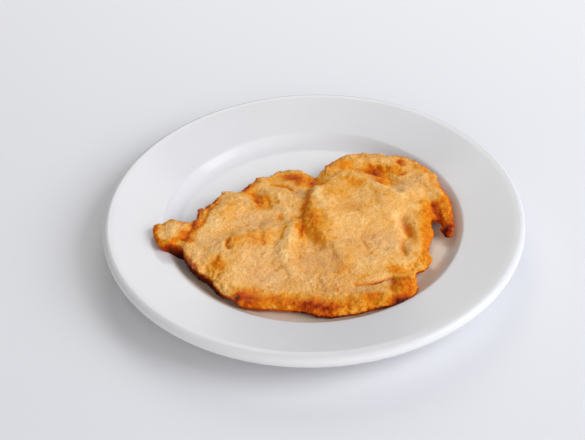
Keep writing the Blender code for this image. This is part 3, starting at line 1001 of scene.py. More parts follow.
@dataclass
class Cutlet:
    """The schnitzel: one pounded cutlet in its crust."""

    voxel: float = 0.65            # spacing of the fine skin
    rounder_levels: int = 2        # how often the solid's faces are cut and rounded before that
    rounding: int = 6              # rounds of smoothing that melt the solid's facets
    lump_height: float = 0.36
    lump_size: float = 12.0
    puff_height: float = 0.50
    puff_size: float = 11.0
    puff_middle: float = 0.4       # a puff this high neither rises nor sinks
    pucker_height: float = 0.40
    pucker_size: float = 4.6
    pucker_rough: float = 1.2      # strength of the puckers where the coat is rough
    pucker_calmed: float = 0.5     # how much less it is where the coat is smooth
    rim_roughness: float = 1.2     # how much stronger the puffs are along the outline
    rim_reach: float = 5.0         # how far in from the outline they are
    grain_height: float = 0.26
    grain_size: float = 1.5
    grain_rough: float = 1.4       # strength of the grain where the coat is rough
    grain_calmed: float = 0.8      # how much less it is where the coat is smooth
    calm_size: float = 24.0        # size of the smoother and rougher areas
    calm_span: float = 0.35        # how quickly one turns into the other
    upper_slopes: Pair = (-0.1, 0.5)     # upward parts of the normals between which the upper
    under_slopes: Pair = (-0.4, 0.35)    # side comes in, and those where the underside goes
    under_relief: float = 0.35     # how much of the relief the underside has
    frill_height: float = 0.7      # how far the outline wanders in and out
    frill_size: float = 5.5
    frill_reach: float = 4.0       # how far in from the outline it does
    rim_fade: float = 3.0          # relief that is drawn from above fades in from the outline
    air: float = 0.12              # the least air between crust and glaze
    highest: float = 22.7          # nothing of the crust stands above this
    easing: float = 0.35           # how softly the crust flattens towards that height
    hollow_rounds: int = 40        # rounds of smoothing that a hollow is measured against
    drifts: tuple[tuple[float, float, int, float], ...] = (
        (1.6, 7.0, 2, 31.0), (0.6, 2.2, 1, 32.0))      # reach, size, octaves and seed
    frying: Frying = Frying()

    def relief_lines(self) -> dict[str, Part]:
        """Return the crisp folds and creases of the upper side, in millimetres."""
        return {
            "lobe_cliff": Step(((20, 38.5), (27.6, 35.8), (32, 30.4), (36.9, 25.8), (42.4, 21.8),
                                (47.4, 17.7), (51.4, 13.3), (56, 9)), 3.4, 0.9, 7.5),
            "lobe_back_edge": Step(((-1.5, 18), (3.1, 22.6), (10.3, 26.3), (11.8, 30.5), (19.3, 36.4),
                                    (25, 38)), 1.2, 1.1, 5),
            "valley": Streak(((0.4, 29.8), (-3.6, 17.4), (-6.6, 8.5), (-8.6, -0.9), (-9.4, -7.1),
                              (-9, -14.1), (-6.2, -22.6), (-2, -28.1), (4, -32.1)), 3, 1.6, -0.3, 1.5),
            "flank_fill": Streak(((1.5, 22), (-1, 10), (-2.8, 0), (-3, -10), (-0.5, -20), (3, -28)),
                                 4.4, 4, 2.9),
            "flank_shoulder": Streak(((1, -2), (1.5, -8), (2.5, -16), (4.5, -24), (7, -32)), 3.4, 4.4,
                                     1.9),
            "lobe_crest": Streak(((2.8, 14.2), (4.3, 5.9), (6.3, -4.2), (7.7, -14), (9.6, -23.6),
                                  (10.9, -33)), 4, 5, 0.3),
            "lobe_puff_one": Patch(16, 17.5, 7, 5, 0.5, 20),
            "lobe_puff_two": Patch(45, 8, 9, 4, 0.7, -40),
            "lobe_dip_one": Patch(25, 2, 5, 5, -0.6),
            "lobe_dip_two": Patch(37, 12, 4, 5, -0.4),
            "finger_crest": Streak(((-15.5, -15.8), (-18, -21.1), (-20, -28.4), (-21, -35.6),
                                    (-21, -46)), 4.5, 3.6, 0.65),
            "finger_right": Streak(((-9, -16), (-9.5, -28), (-11, -40)), 3.5, 3.5, -0.7),
            "finger_line": Streak(FINGER_LINE, 1.2, 1.6, -0.4, 1.4),
            "finger_foot": Patch(-22, -35.5, 3, 6.5, 0.7),
            "front_mass": Step(((-61.1, -53.7), (-57.4, -46.2), (-52.6, -36), (-49.7, -26.5),
                                (-44.8, -22), (-36.6, -21.2), (-29.8, -19.4)), 0.7, 1.2, 5),
            "mass_crease": Streak(MASS_CREASE, 1.4, 1.2, -2, 1.5),
            "mass_crease_lip": Streak(((-55.2, -29.5), (-54.6, -33), (-55.2, -37)), 1.4, 1.4, 0.5),
            "mass_dip_one": Streak(((-31.8, -24), (-31.6, -31)), 1.8, 2.4, -0.7, 1.5),
            "mass_dip_two": Patch(-24.5, -28, 2.2, 4.5, -0.6),
            "mass_puff_one": Patch(-43, -40, 4.5, 6, 0.7),
            "mass_puff_two": Patch(-42, -26.5, 4, 3, 0.6),
            "mass_puff_three": Patch(-33, -49, 8, 6, 0.5, 20),
            "orange_nick": Streak(((-59.6, -42.5), (-57.6, -45.5), (-56, -47.5)), 1.4, 1.1, -0.2, 1.4),
            "ledge": Step(((-27, 20.5), (-24.5, 21.7), (-19.4, 18.9), (-14.4, 17.8), (-9.4, 13.3),
                           (-4.9, 10.6)), 0.9, 1.3, 5),
            "back_crease": Streak(((-24.5, 33.2), (-20.5, 32.4), (-16.2, 30.3), (-14.2, 28.5),
                                   (-12.2, 25.2), (-9.2, 23.3), (-3, 23)), 1.6, 1.2, -1.1, 1.2),
            "pit": Streak(((-37.5, 23.5), (-35.5, 16), (-32.5, 7.5)), 2.8, 2.8, -0.7),
            "pit_right": Streak(((-29, 17.5), (-27.5, 12), (-26, 7)), 1.6, 1.8, -0.5, 1.5),
            "pit_ridge": Streak(((-31.5, 20), (-29.8, 14), (-29, 9)), 1.3, 1.3, 0.35),
            "left_fold": Streak(((-68.5, -13), (-66.8, -5), (-65, 2), (-61, 7.5)), 1.6, 1.6, -1, 1.4),
            "left_puff_one": Patch(-53.5, 2, 6.5, 9, 0.8),
            "left_puff_two": Patch(-58, -12, 5, 7, 0.6, 10),
            "left_puff_three": Patch(-65, -31, 6, 6, 0.5),
            "left_dip": Streak(((-58, -22), (-50, -19), (-42, -12)), 2.4, 2.4, -0.5),
            "middle_pale": Patch(-33, 1, 6, 5, 0.4),
            "pocket": Patch(-20.4, -4.7, 1.8, 2.8, -1, 10),
            "pocket_back": Patch(-22.3, 11.3, 2.2, 1.6, -1.1),
            "dimple": Streak(((54.6, -9), (54.8, -14.5), (55.8, -20), (57, -23.5)), 2.4, 2.6, -2, 1.8),
            "dimple_lip": Streak(((61.5, -12), (62.4, -18), (62.6, -23)), 2, 2.2, 0.5),
            "dimple_back": Patch(54.5, -7, 3.2, 3, -0.6),
            "c_crease": Streak(C_CREASE, 1.3, 1.2, -1.2, 1.4),
            "c_bump": Patch(57.4, -38, 2.8, 4.8, 0.9, 12),
            "tear": Streak(TEAR, 0.8, 1.2, -2.4, 1.3),
            "tear_cup": Patch(41.7, -63.3, 2.4, 1.6, -0.8),
            "tear_side": Streak(((44.4, -61.5), (44.8, -63.5), (44, -65.5)), 0.9, 0.9, -0.8, 1.4),
            "corner_crease": Streak(((43.6, -64), (42, -68.5), (42.6, -73), (41.2, -79)), 1.3, 1.3,
                                    -0.7, 1.3),
            "corner_puff": Patch(50.5, -66.5, 5, 6, 0.7),
            "front_puff": Patch(34, -69, 4.5, 2.4, 0.5),
            "front_patch_dip": Patch(35, -73.4, 2.4, 1.6, -0.7),
            "front_roll_one": Patch(25, -73, 6, 3, 0.5),
            "front_roll_two": Patch(-30, -72, 12, 3, 0.5),
            "tail_groove": Streak(((74.3, 6.8), (76, 0.6), (76.6, -5.3), (76.4, -11.2)), 1.5, 1.3,
                                  -1.2, 1.4),
            "nub_neck": Streak(((-74, -9.5), (-74.6, -14), (-76.5, -18.7), (-79.8, -25.5)), 1.5, 1.5,
                               -1.1, 1.4),
            "nub_cup": Patch(-91, -19, 4.6, 6, -0.35),
            "nub_rib": Streak(((-86.5, -14), (-86, -20), (-86.8, -26)), 2, 2.4, 0.2),
            "pleat_one": Streak(((27, -29), (30.5, -33.5), (30, -38.5)), 1.3, 1.5, -0.6, 1.4),
            "pleat_two": Streak(((36.5, -28), (41, -27), (46.5, -29)), 1.2, 1.4, 0.5, 1.5),
            "spot_dip_one": Patch(59.8, 48.6, 2.8, 3.6, -0.8),
            "spot_dip_two": Patch(60, 35.8, 2.4, 2, -0.5),
            "far_puff": Patch(63, 16, 5, 9, 0.5, 10),
            "bright_puff": Patch(32, -44.3, 2.2, 1.4, 0.6, -35),
            "trough_pit": Patch(40.6, 43.5, 6, 5, -1.1, -20),
        }

    def outline_bulges(self) -> dict[str, Part]:
        """Return where the crust's edge stands further out than the solid's."""
        return {
            "nub_back": Patch(-85, -8, 9, 3.5, 2.2),
            "nub_end": Patch(-98, -10, 4, 4, 0.6),
            "nub_front": Patch(-88, -32.5, 6, 3.6, -3),
            "left_back": Patch(-54, 26, 8, 4, 1.5),
            "left_corner": Patch(-73.5, 2, 3, 4, 1.2),
            "left_side": Patch(-65, 12, 6, 7, -1.5, 45),
            "left_notch": Patch(-43.5, 34, 3, 3, 1.9),
            "back_corner": Patch(-36, 43, 2.5, 3, 0.8),
            "back_top": Patch(-20, 51, 8, 4, 1.6),
            "back_lobe": Patch(0, 46, 4, 4, 1.2),
            "flap_left": Patch(18, 58, 8, 4, -0.9, 30),
            "back_right": Patch(65, 56, 9, 5, 1.6, -30),
            "tail_notch": Patch(75.6, -10.4, 3, 5, -4.6),
            "rim_up": Patch(78, 44, 4, 5, 0.5),
            "rim_in": Patch(84, 30, 4, 7, -2.2),
            "rim_out": Patch(87, 17, 3, 4, 1.6),
            "tail_side": Patch(88, -8, 3, 8, -1.5),
            "tail_tip": Patch(79.4, -24.8, 3.6, 3.4, 4.6),
            "tail_left": Patch(77.4, -17, 2, 3.4, 1.8),
            "right_bay": Patch(62.5, -53, 4, 4, 1.6),
            "corner_side": Patch(60, -66, 3, 5, -1.6),
            "corner_low": Patch(53, -75, 7, 4, 1.5, 20),
            "corner_lip": Patch(45, -79.5, 6.5, 4, 3.1, 15),
            "lifted_edge": Patch(-65, -56, 6, 5, 1.2, -45),
        }

    def smooth_areas(self) -> dict[str, Part]:
        """Return where the coat is smoother than elsewhere: on the lobe and along the right."""
        return {
            "lobe": Patch(24, 8, 22, 26, 0.9),
            "right_side": Patch(62, 0, 16, 40, 0.6),
        }

    def hanging(self) -> dict[str, Part]:
        """Return how far the underside hangs down towards the plate, or is lifted from it."""
        return {
            "left_front": Streak(((-82, -32), (-76, -43), (-68, -50), (-63, -55)), 8, 11, 5),
            "left_low": Streak(((-61, -58), (-57, -64)), 6, 6, 2),
            # the neck's hanging crust is a dark sheet standing in for the shade between nub and body
            "neck": Patch(-80.5, -29.5, 4.5, 4.5, 7),
            "tail_notch": Patch(77, -8, 4.5, 5, -2.4),
            "left_back": Streak(((-72, -2), (-64, 13), (-52, 26)), 7, 7, 1.5),
        }

    def scorched_and_shaded(self) -> dict[str, Part]:
        """Return where the side and the underside are darkest: fried darkest, and along the lifted
        left front edge and in the nub's neck also painted shade.
        """
        return {
            # painted shade on the side under the lifted left front edge and in the nub's neck
            "left_front": Streak(((-83, -31), (-76, -42), (-66, -52), (-58.5, -62)), 7, 7, 0.42),
            "neck": Streak(((-84, -33.5), (-81, -32), (-77, -29.5)), 2.6, 4, 0.02),
            "front": Streak(((-11, -79), (-2, -83), (9, -86)), 4, 4, 0.28),
            "corner": Patch(46, -79, 11, 5, 0.5, 15),
            "tail_tip": Patch(79, -22, 5, 5, 0.36),
        }

    def browned_and_shaded(self) -> dict[str, Part]:
        """Return where the crust is fried darker, or less where the amount is negative; the valley,
        the dimple, the flank core, the crest shade and the lower edge also carry painted shade, and
        the trough's pale patch painted light.
        """
        return {
            "trough_pit": Patch(41.4, 42.8, 5.4, 5.6, 0.35, -20),
            "trough": Streak(((36, 42), (40, 40), (44, 34), (46, 28)), 5, 3.4, 0.27),
            "crest_shade": Streak(((40, 32.5), (43.5, 29.4), (46.5, 26)), 2, 2, 0.1),
            "flap_line": Streak(((28, 46.5), (38, 47), (47, 46)), 1.4, 1.6, 0.12),
            # painted light on a slope that faces away from the key lamp
            "trough_pale": Patch(54.5, 20, 3.5, 8, -0.16),
            "trough_right": Patch(56.5, 30, 5, 6, 0.06),
            "trough_spot_one": Patch(59.7, 48.8, 3, 3.8, 0.7),
            "trough_spot_two": Patch(59.8, 36, 2.6, 2, 0.42),
            "trough_far": Patch(53, 41, 7, 4.5, 0.26, -10),
            "flap_left": Patch(20, 47, 9, 7, 0.24, 20),
            "back_rim": Streak(((20, 58), (36, 60), (52, 57)), 3.5, 4.5, 0.1),
            "back_rim_line": Streak(((24, 62), (36, 64), (50, 61.8), (60, 59), (68, 54), (74, 48)),
                                    1.2, 1.2, 0.25),
            "back_rim_dark": Streak(((11, 48), (14, 54), (20, 58.5)), 2.2, 2.2, 0.24),
            "lobe_corner": Patch(8, 26, 6, 4, 0.22, 30),
            "lobe_top_one": Patch(15.5, 16.5, 7, 4.5, 0.17, 10),
            "lobe_top_two": Patch(29, 26.5, 8, 5.5, 0.22, -25),
            "lobe_middle": Patch(25, 1, 8, 6, 0.13),
            "lobe_right": Patch(46, 10.5, 7, 4, 0.1, -40),
            "middle_right": Patch(27, -30, 8, 8, 0.1),
            "lobe_gold": Streak(((6, 4), (8, -6), (9.5, -14), (11, -26)), 4, 4, 0.07),
            "lobe_left_flank": Streak(((-2, 2), (-1, -8), (-0.5, -16), (0.5, -24), (2.5, -30)), 5.6,
                                      3.6, 0.12),
            # painted shade: warm brown on the flank's slope that faces away from the key lamp
            "flank_core": Patch(1.4, -13.5, 5, 8.5, 0.22, 8),
            "lobe_crest_pale": Streak(((2.5, 24), (4.5, 12), (7, 2)), 3, 4, -0.16),
            # painted shade along the valley and its side
            "valley": Streak(((-1, 24), (-3, 14), (-4.4, 6), (-5.6, -2), (-6.6, -10), (-7.3, -17),
                              (-7.8, -24)), 1.8, 1.3, 0.24),
            "valley_core": Patch(-9.3, -11, 1.8, 3.6, 0.2, 5),
            "valley_side": Patch(-11, -9, 3, 9, 0.11, 5),
            "valley_foot": Patch(-6.4, -24, 2.6, 5, 0.1),
            "flank_gold": Patch(-1, 4, 3, 10, 0.06, 10),
            "valley_back": Patch(3, 35, 7, 8, 0.26),
            "notch": Patch(0.5, 33, 2, 4.5, 0.16, -20),
            "right_roll": Streak(((70.5, 2), (71, -12), (69, -24), (66.5, -36), (63, -47)), 6, 5.5,
                                 0.24),
            "roll_high": Patch(69, -7, 3.5, 7, 0.06),
            "roll_low": Patch(62, -47.5, 4, 4, -0.15),
            "tail": Streak(((81.5, 6), (83, 0), (83.5, -8), (83, -16)), 6, 4, 0.31),
            "tail_low": Streak(((77, 4), (77.6, -3), (78.2, -10)), 2.2, 2.6, 0.42),
            "tail_side": Streak(((84, 22), (87, 8), (87.5, -8), (85.5, -17)), 1.6, 1.6, 0.22),
            "tail_tip": Patch(80.4, -20.6, 5.6, 6, 0.78),
            "rim_band": Streak(((72, 44), (79, 33), (83.5, 20)), 4, 5, 0.22),
            # painted shade on the dimple's right wall
            "dimple": Streak(((57.4, -14), (58.4, -22)), 2.4, 2.2, 0.22),
            "c_crease": Streak(C_CREASE, 1.3, 1.3, 0.14),
            "c_bump": Patch(57.5, -39, 3, 4.8, 0.03, 12),
            "orange_spot": Patch(46, -54, 5, 3.2, 0.27),
            "corner": Patch(51.5, -67, 8, 9.5, 0.38),
            "corner_edge": Patch(46, -79, 7.5, 3.6, 0.9, 17),
            "corner_dark": Patch(41, -68, 2, 2.6, 0.24),
            "tear": Streak(TEAR, 0.7, 0.7, 0.14),
            "tear_core": Patch(34.8, -62.8, 3.4, 0.65, 0.75, 17),
            "tear_side": Streak(((44.4, -61.5), (44.8, -64.5)), 1, 1, 0.24),
            "front_patch": Patch(32, -74.5, 7, 3.6, 0.1, -5),
            "front_patch_core": Patch(35.5, -72.8, 2, 1.4, 0.24),
            "front_right": Streak(((2, -80.5), (14, -80.5), (31, -79)), 8, 3, 0.22),
            "front_low": Patch(10, -66, 12, 5, 0.1),
            "front_dark_one": Patch(4, -82, 8, 5.4, 0.47, -15),
            "front_dark_two": Patch(-6, -77.5, 5.5, 5, 0.55, -10),
            "front_left": Streak(((-44, -71), (-38, -71), (-26, -73), (-14, -74.5)), 5.5, 5, 0.34),
            "front_left_core": Patch(-42, -71.5, 8, 4.6, 0.29, -8),
            "front_left_dark": Patch(-46.5, -70.8, 2.8, 3.2, 0.26, -30),
            "left_orange": Patch(-57.2, -48.6, 5, 6, 0.3, 15),
            "left_nick": Patch(-57.5, -42.9, 1.1, 1, 0.24),
            "left_gold": Patch(-47, -35, 4, 8, 0.1, 10),
            "mass_crease": Streak(MASS_CREASE, 1.4, 1.4, 0.13),
            "mass_band": Streak(((-49, -28), (-45, -25.5), (-41, -25.5)), 3, 3.4, 0.18),
            "mass_smear": Streak(((-30.6, -22), (-30.4, -31)), 1.8, 2.2, 0.15),
            "mass_right": Patch(-28.2, -27, 3.6, 5.5, 0.12),
            "mass_front": Patch(-35.5, -27.5, 4, 4, 0.22),
            "finger_line": Streak(FINGER_LINE, 1.3, 1.8, 0.12),
            "finger_foot": Patch(-20.5, -35, 2.4, 6.5, -0.09),
            "mass_line": Streak(((-40, -21.8), (-33, -20.6), (-27, -17.5)), 1.2, 1.2, 0.14),
            "left_pale": Patch(-52, 3, 6, 9, 0.1),
            "left_yellow": Patch(-60, -14, 5, 7, -0.05),
            "left_back_edge": Streak(((-73.5, -12), (-71.5, 0), (-66, 9), (-61, 16)), 2.5, 3.2, 0.46),
            "left_back_fold": Streak(((-68.5, -14), (-66.5, -5), (-64.5, 3), (-60, 8.5)), 1.8, 1.8,
                                     0.18),
            "pit": Streak(((-38, 23), (-36, 15), (-33, 7)), 4, 3.2, 0.28),
            "pit_core": Streak(((-36, 16), (-34, 13.2), (-31.5, 12)), 1.3, 1.3, 0.2),
            "pit_middle": Patch(-32, 16, 4.5, 5, 0.14),
            "pit_right": Streak(((-29.5, 19), (-27.5, 12), (-26.5, 7)), 2, 2.4, 0.14),
            "back_left_edge": Streak(((-43.5, 26), (-41.5, 33), (-35, 36)), 2.8, 3.4, 0.32),
            "back_left_line": Streak(((-43.5, 28), (-41.5, 33), (-38, 39), (-34.5, 42.5), (-30, 45)),
                                     1.8, 1.8, 0.22),
            "back_left_dark": Patch(-41.5, 30, 3, 3.4, 0.16, 30),
            "back_lobe": Patch(-14.5, 42, 13, 6.5, 0.21, -6),
            "back_lobe_core": Streak(((-11, 41), (-6.5, 38.5), (-6, 33)), 3.6, 4.6, 0.34),
            "back_crease": Streak(((-24.5, 33.2), (-16.2, 30.3), (-13.2, 26.5)), 1.3, 1.3, 0.2),
            "ledge_front": Patch(-19, 14, 6, 5, -0.06),
            "middle_front": Patch(0, -48, 13, 12, 0.09),
            "specks": Patch(16, -50, 5.5, 8, 0.13),
            "gold_low": Patch(25, -59, 6, 3.4, 0.12),
            "pocket": Patch(-20.5, -4.7, 1.5, 2.4, 0.2),
            "pocket_back": Patch(-22.3, 11.3, 2, 1.5, 0.24),
            "finger_pale": Streak(((-14, -18), (-18, -30), (-19, -46)), 2.4, 3, -0.05),
            "finger_side": Streak(((-9, -16), (-8, -28), (-7, -40)), 3, 3.5, 0.1),
            "nub_rim": Streak(((-96.5, -11.5), (-97, -16), (-95.5, -24)), 1.8, 2, 0.32),
            "nub_front": Streak(((-94.5, -27), (-89, -30.5), (-84, -31)), 2, 1.8, 0.22),
            "nub_orange": Streak(((-86, -29), (-81.5, -25), (-79, -19)), 3.2, 3, 0.3),
            "nub_back": Streak(((-94, -10.5), (-84, -9), (-78, -11)), 2.6, 2.6, 0.13),
            "nub_cup": Patch(-89.5, -18, 4.5, 5, -0.12),
            "nub_neck": Patch(-75.5, -20, 2.4, 5.5, 0.26, -15),
            "neck_back": Patch(-70.5, -16.5, 2.4, 2.4, 0.35),
            "left_strip": Patch(-72, -19, 3, 7, 0.16, -15),
            "neck_front": Patch(-76.5, -26, 3.4, 2.6, 0.36),
            # painted shade on the side of the lifted left front edge
            "lower_edge": Streak(((-59, -62.5), (-63, -55), (-72.5, -47.5), (-79.5, -35)), 2.6, 0.8,
                                 0.5),
            "fleck_one": Patch(-13.4, -74.8, 1, 1.4, 0.44),
            "fleck_two": Patch(10.3, -68.2, 0.9, 0.8, 0.5),
            "fleck_three": Patch(-27.2, -63.4, 0.8, 0.8, 0.4),
            "fleck_four": Patch(-16.1, -55.5, 0.8, 0.7, 0.44),
            "fleck_five": Patch(29.5, -81.5, 2, 1.2, 0.4),
            "fleck_six": Patch(1.2, 33.2, 0.8, 0.8, 0.36),
            "fleck_seven": Patch(13, -55, 1.6, 1, 0.22),
            "fleck_eight": Patch(18, -45, 1, 2.2, 0.2),
        }

    def floury_and_rim_lit(self) -> dict[str, Part]:
        """Return where the coat is dusty and pinkish with less browning; along the back lobe's rim the
        paleness is a painted highlight.
        """
        return {
            "middle_left": Patch(-35, -8, 13, 9, 0.6, 10),
            "mass": Patch(-35, -40, 12, 13, 0.45),
            "front_low": Patch(8, -65, 16, 7, 0.45),
            "far_pale": Patch(56, 18, 5, 8, 0.35),
            "left_edge": Patch(-69, 1, 3.5, 9, 0.25, -15),
            "left_back": Patch(-55, 21, 7, 4, 0.3, 20),
            "nub": Patch(-84, -13, 7, 4, 0.35),
            "right_rim": Patch(79.5, 30, 3.5, 9, 0.25, 15),
            "left": Patch(-64, -29, 9, 9, 0.35),
            # painted highlight: a pale rim along the back lobe's edge
            "back_lobe_rim": Streak(((-30, 45.5), (-20, 50.5), (-8, 50.5)), 2.6, 2.6, 0.72),
            "drip": Patch(-51, -70.5, 3.4, 3.4, 0.5),
            "left_low": Patch(-72, -42, 6, 6, 0.3),
            "right_middle": Patch(43, -31, 13, 10, 0.6),
            "middle": Patch(2, -46, 17, 12, 0.6),
            "middle_right": Patch(24, -31, 9, 8, 0.35),
            "front_right": Patch(27, -68.5, 10, 2.6, 0.6),
            "dimple": Patch(55.6, -11, 3, 4.6, 0.55),
            "tear": Streak(((28, -63.6), (36.4, -61.8), (43.5, -60.1)), 1.6, 1.8, 0.25),
            "tear_meat": Patch(41.7, -63.2, 2.4, 1.5, 1),
            "back_right": Patch(66.5, 27, 7, 9, 0.4),
            "back_meat": Patch(40.5, 30.5, 1.3, 2.8, 0.8, 10),
            "lobe_middle": Patch(25, 1, 7, 6, 0.35),
            "ledge": Patch(-7, 20, 5, 5, 0.5),
            "back_rim": Patch(40, 57, 16, 2.6, 0.2),
            "front_middle": Patch(-30, -59, 17, 8, 0.5),
            "bright_one": Patch(32, -44.3, 2.4, 1.5, 0.7, -35),
            "bright_two": Patch(10, -53.5, 1.4, 1.2, 0.5),
        }

    def _fine_skin(self) -> bpy.types.Object:
        """Make the fine, even skin from the frame's solid.

        Returns:
            The skin as an object of its own.
        """
        body = placed("crust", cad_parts["schnitzel"].data.copy())
        body.modifiers.new("weld", "WELD").merge_threshold = WELD
        rounder = body.modifiers.new("rounder", "SUBSURF")
        rounder.levels = rounder.render_levels = self.rounder_levels
        even = body.modifiers.new("even", "REMESH")
        even.mode = "VOXEL"
        even.voxel_size = self.voxel * MM
        graph = bpy.context.evaluated_depsgraph_get()
        graph.update()
        mesh = bpy.data.meshes.new_from_object(body.evaluated_get(graph))
        body.modifiers.clear()
        body.data = mesh
        return body

    def _fold(self, skin: Skin, plan: np.ndarray, inside: np.ndarray, upper: np.ndarray) -> None:
        """Raise the folds, move the edge in and out and let the underside hang.

        Args:
            skin: the fine skin, changed in place.
            plan: its points from above, as they were.
            inside: how far they are from the outline.
            upper: 1 on the upper side, 0 below.
        """
        normals = skin.normals()
        drawn = upper * smoothstep(inside, 0.0, self.rim_fade)
        skin.points[:, 2] += total(self.relief_lines(), plan) * drawn
        bulge = total(self.outline_bulges(), plan)
        bulge += self.frill_height * (fractal(skin.points, self.frill_size, 2, seed=17.0)
                                      * bell(inside, self.frill_reach))
        skin.points[:, :2] += normals[:, :2] * bulge[:, None]
        below = 1.0 - smoothstep(normals[:, 2], *self.under_slopes)
        skin.points[:, 2] -= total(self.hanging(), plan) * below

    def _shape(self, skin: Skin, outline: np.ndarray, plate: Plate) -> dict[str, np.ndarray]:
        """Raise the folds, lumps, blisters and grain of the crust.

        Args:
            skin: the fine skin, changed in place.
            outline: the outline from above.
            plate: what the cutlet lies on.

        Returns:
            Facts about each point that the colours need.
        """
        skin.points = skin.spread(skin.points, self.rounding)
        plan = skin.points[:, :2].copy()
        inside, _, _ = along_line(plan, outline, closed=True)
        upper = smoothstep(skin.normals()[:, 2], *self.upper_slopes)
        self._fold(skin, plan, inside, upper)
        base = skin.points.copy()
        normals = skin.normals()
        lumps = fractal(base, self.lump_size, 2, seed=3.0)
        puff = puffs(base, self.puff_size, seed=5.0)
        pucker = puffs(base, self.pucker_size, seed=9.0)
        grain = fractal(base, self.grain_size, 1, seed=14.0)
        calm = smoothstep(fractal(base, self.calm_size, 1, seed=21.0), -self.calm_span,
                          self.calm_span)
        calm = np.clip(calm + total(self.smooth_areas(), plan), 0.0, 1.0)
        rise = (self.lump_height * lumps + self.puff_height * (puff - self.puff_middle)
                + self.pucker_height * (pucker - self.puff_middle)
                * (self.pucker_rough - self.pucker_calmed * calm)
                + self.grain_height * grain * (self.grain_rough - self.grain_calmed * calm))
        share = ((self.under_relief + (1.0 - self.under_relief) * upper)
                 * (1.0 + self.rim_roughness * bell(inside, self.rim_reach)))
        skin.points += normals * (rise * share)[:, None]
        self._keep_clear(skin, plate)
        hollow = skin.spread(skin.points[:, 2], self.hollow_rounds) - skin.points[:, 2]
        return {"plan": plan, "inside": inside, "upper": upper, "hollow": hollow, "puff": puff,
                "pucker": pucker}

    def _keep_clear(self, skin: Skin, plate: Plate) -> None:
        """Hold the crust above the glaze and below the highest point.

        Args:
            skin: the crust, changed in place.
            plate: what it lies on.
        """
        radius = np.linalg.norm(skin.points[:, :2], axis=1)
        rest = plate.height_at(radius) + self.air
        below = (self.highest - skin.points[:, 2]) / self.easing
        skin.points[:, 2] = np.maximum(self.highest - self.easing * np.logaddexp(0.0, below), rest)

    def _cook(self, skin: Skin, facts: dict[str, np.ndarray]) -> None:
        """Store each spot's browning, with painted shade added, and how dusty it is.

        Args:
            skin: the finished skin.
            facts: what shaping found at each point.
        """
        solid = np.column_stack([facts["plan"], skin.points[:, 2]])
        warped = facts["plan"] + sum(
            reach * np.column_stack([fractal(solid, size, octaves, seed),
                                     fractal(solid, size, octaves, seed + 6.0)])
            for reach, size, octaves, seed in self.drifts)
        fry = self.frying
        edge = bell(facts["inside"], fry.edge_width)
        # painted shade: slopes that face left, away from the key lamp, are made browner
        painted_lee_shade = smoothstep(-skin.normals()[:, 0], *fry.painted_lee_slopes)
        wander = fractal(solid, fry.wander_size, 2, seed=41.0)
        spots = fractal(solid, fry.spot_size, 2, seed=47.0)
        # painted shade in the creases and hollows, and painted light on the tops of the puffs
        creases = sum(bell(facts[name], width) * share
                      for name, (width, share) in (("puff", fry.puff_crease),
                                                   ("pucker", fry.pucker_crease)))
        stains = total(self.browned_and_shaded(), warped)
        top = (fry.upper + stains * (1.0 + fry.spotting * spots) + fry.edge * edge + fry.painted_lee_shade * painted_lee_shade
               + fry.wander * wander + fry.spots * spots + fry.creases * creases
               - fry.puffs * facts["puff"] + fry.hollows * np.clip(facts["hollow"], -1.0, 1.0))
        below = (fry.under + fry.under_both * wander + fry.under_both * spots
                 + fry.under_edge * edge + total(self.scorched_and_shaded(), warped))
        skin.label("browning", np.clip(below + (top - below) * facts["upper"], 0.0, 1.0))
        dusty = (total(self.floury_and_rim_lit(), warped) * facts["upper"]
                 * (fry.dust + fry.dust_spots * spots))
        skin.label("flour", np.clip(dusty, 0.0, fry.dust_most))

    def build(self, outline: np.ndarray, plate: Plate, finish: CrustFinish,
              effects: Effects) -> bpy.types.Object:
        """Make the crust.

        Args:
            outline: the cutlet's outline from above.
            plate: what the cutlet lies on.
            finish: the crust's finish.
            effects: the shared node groups.

        Returns:
            The crust, which stands for the frame's cutlet.
        """
        body = self._fine_skin()
        skin = Skin(body.data)
        facts = self._shape(skin, outline, plate)
        skin.write()
        self._cook(skin, facts)
        body.data.materials.clear()
        body.data.materials.append(finish.material(effects))
        body.data.shade_smooth()
        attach(body, "root")
        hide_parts("schnitzel")
        LOG.info("crust: %d points, %d outline points", len(skin.points), len(outline))
        return body


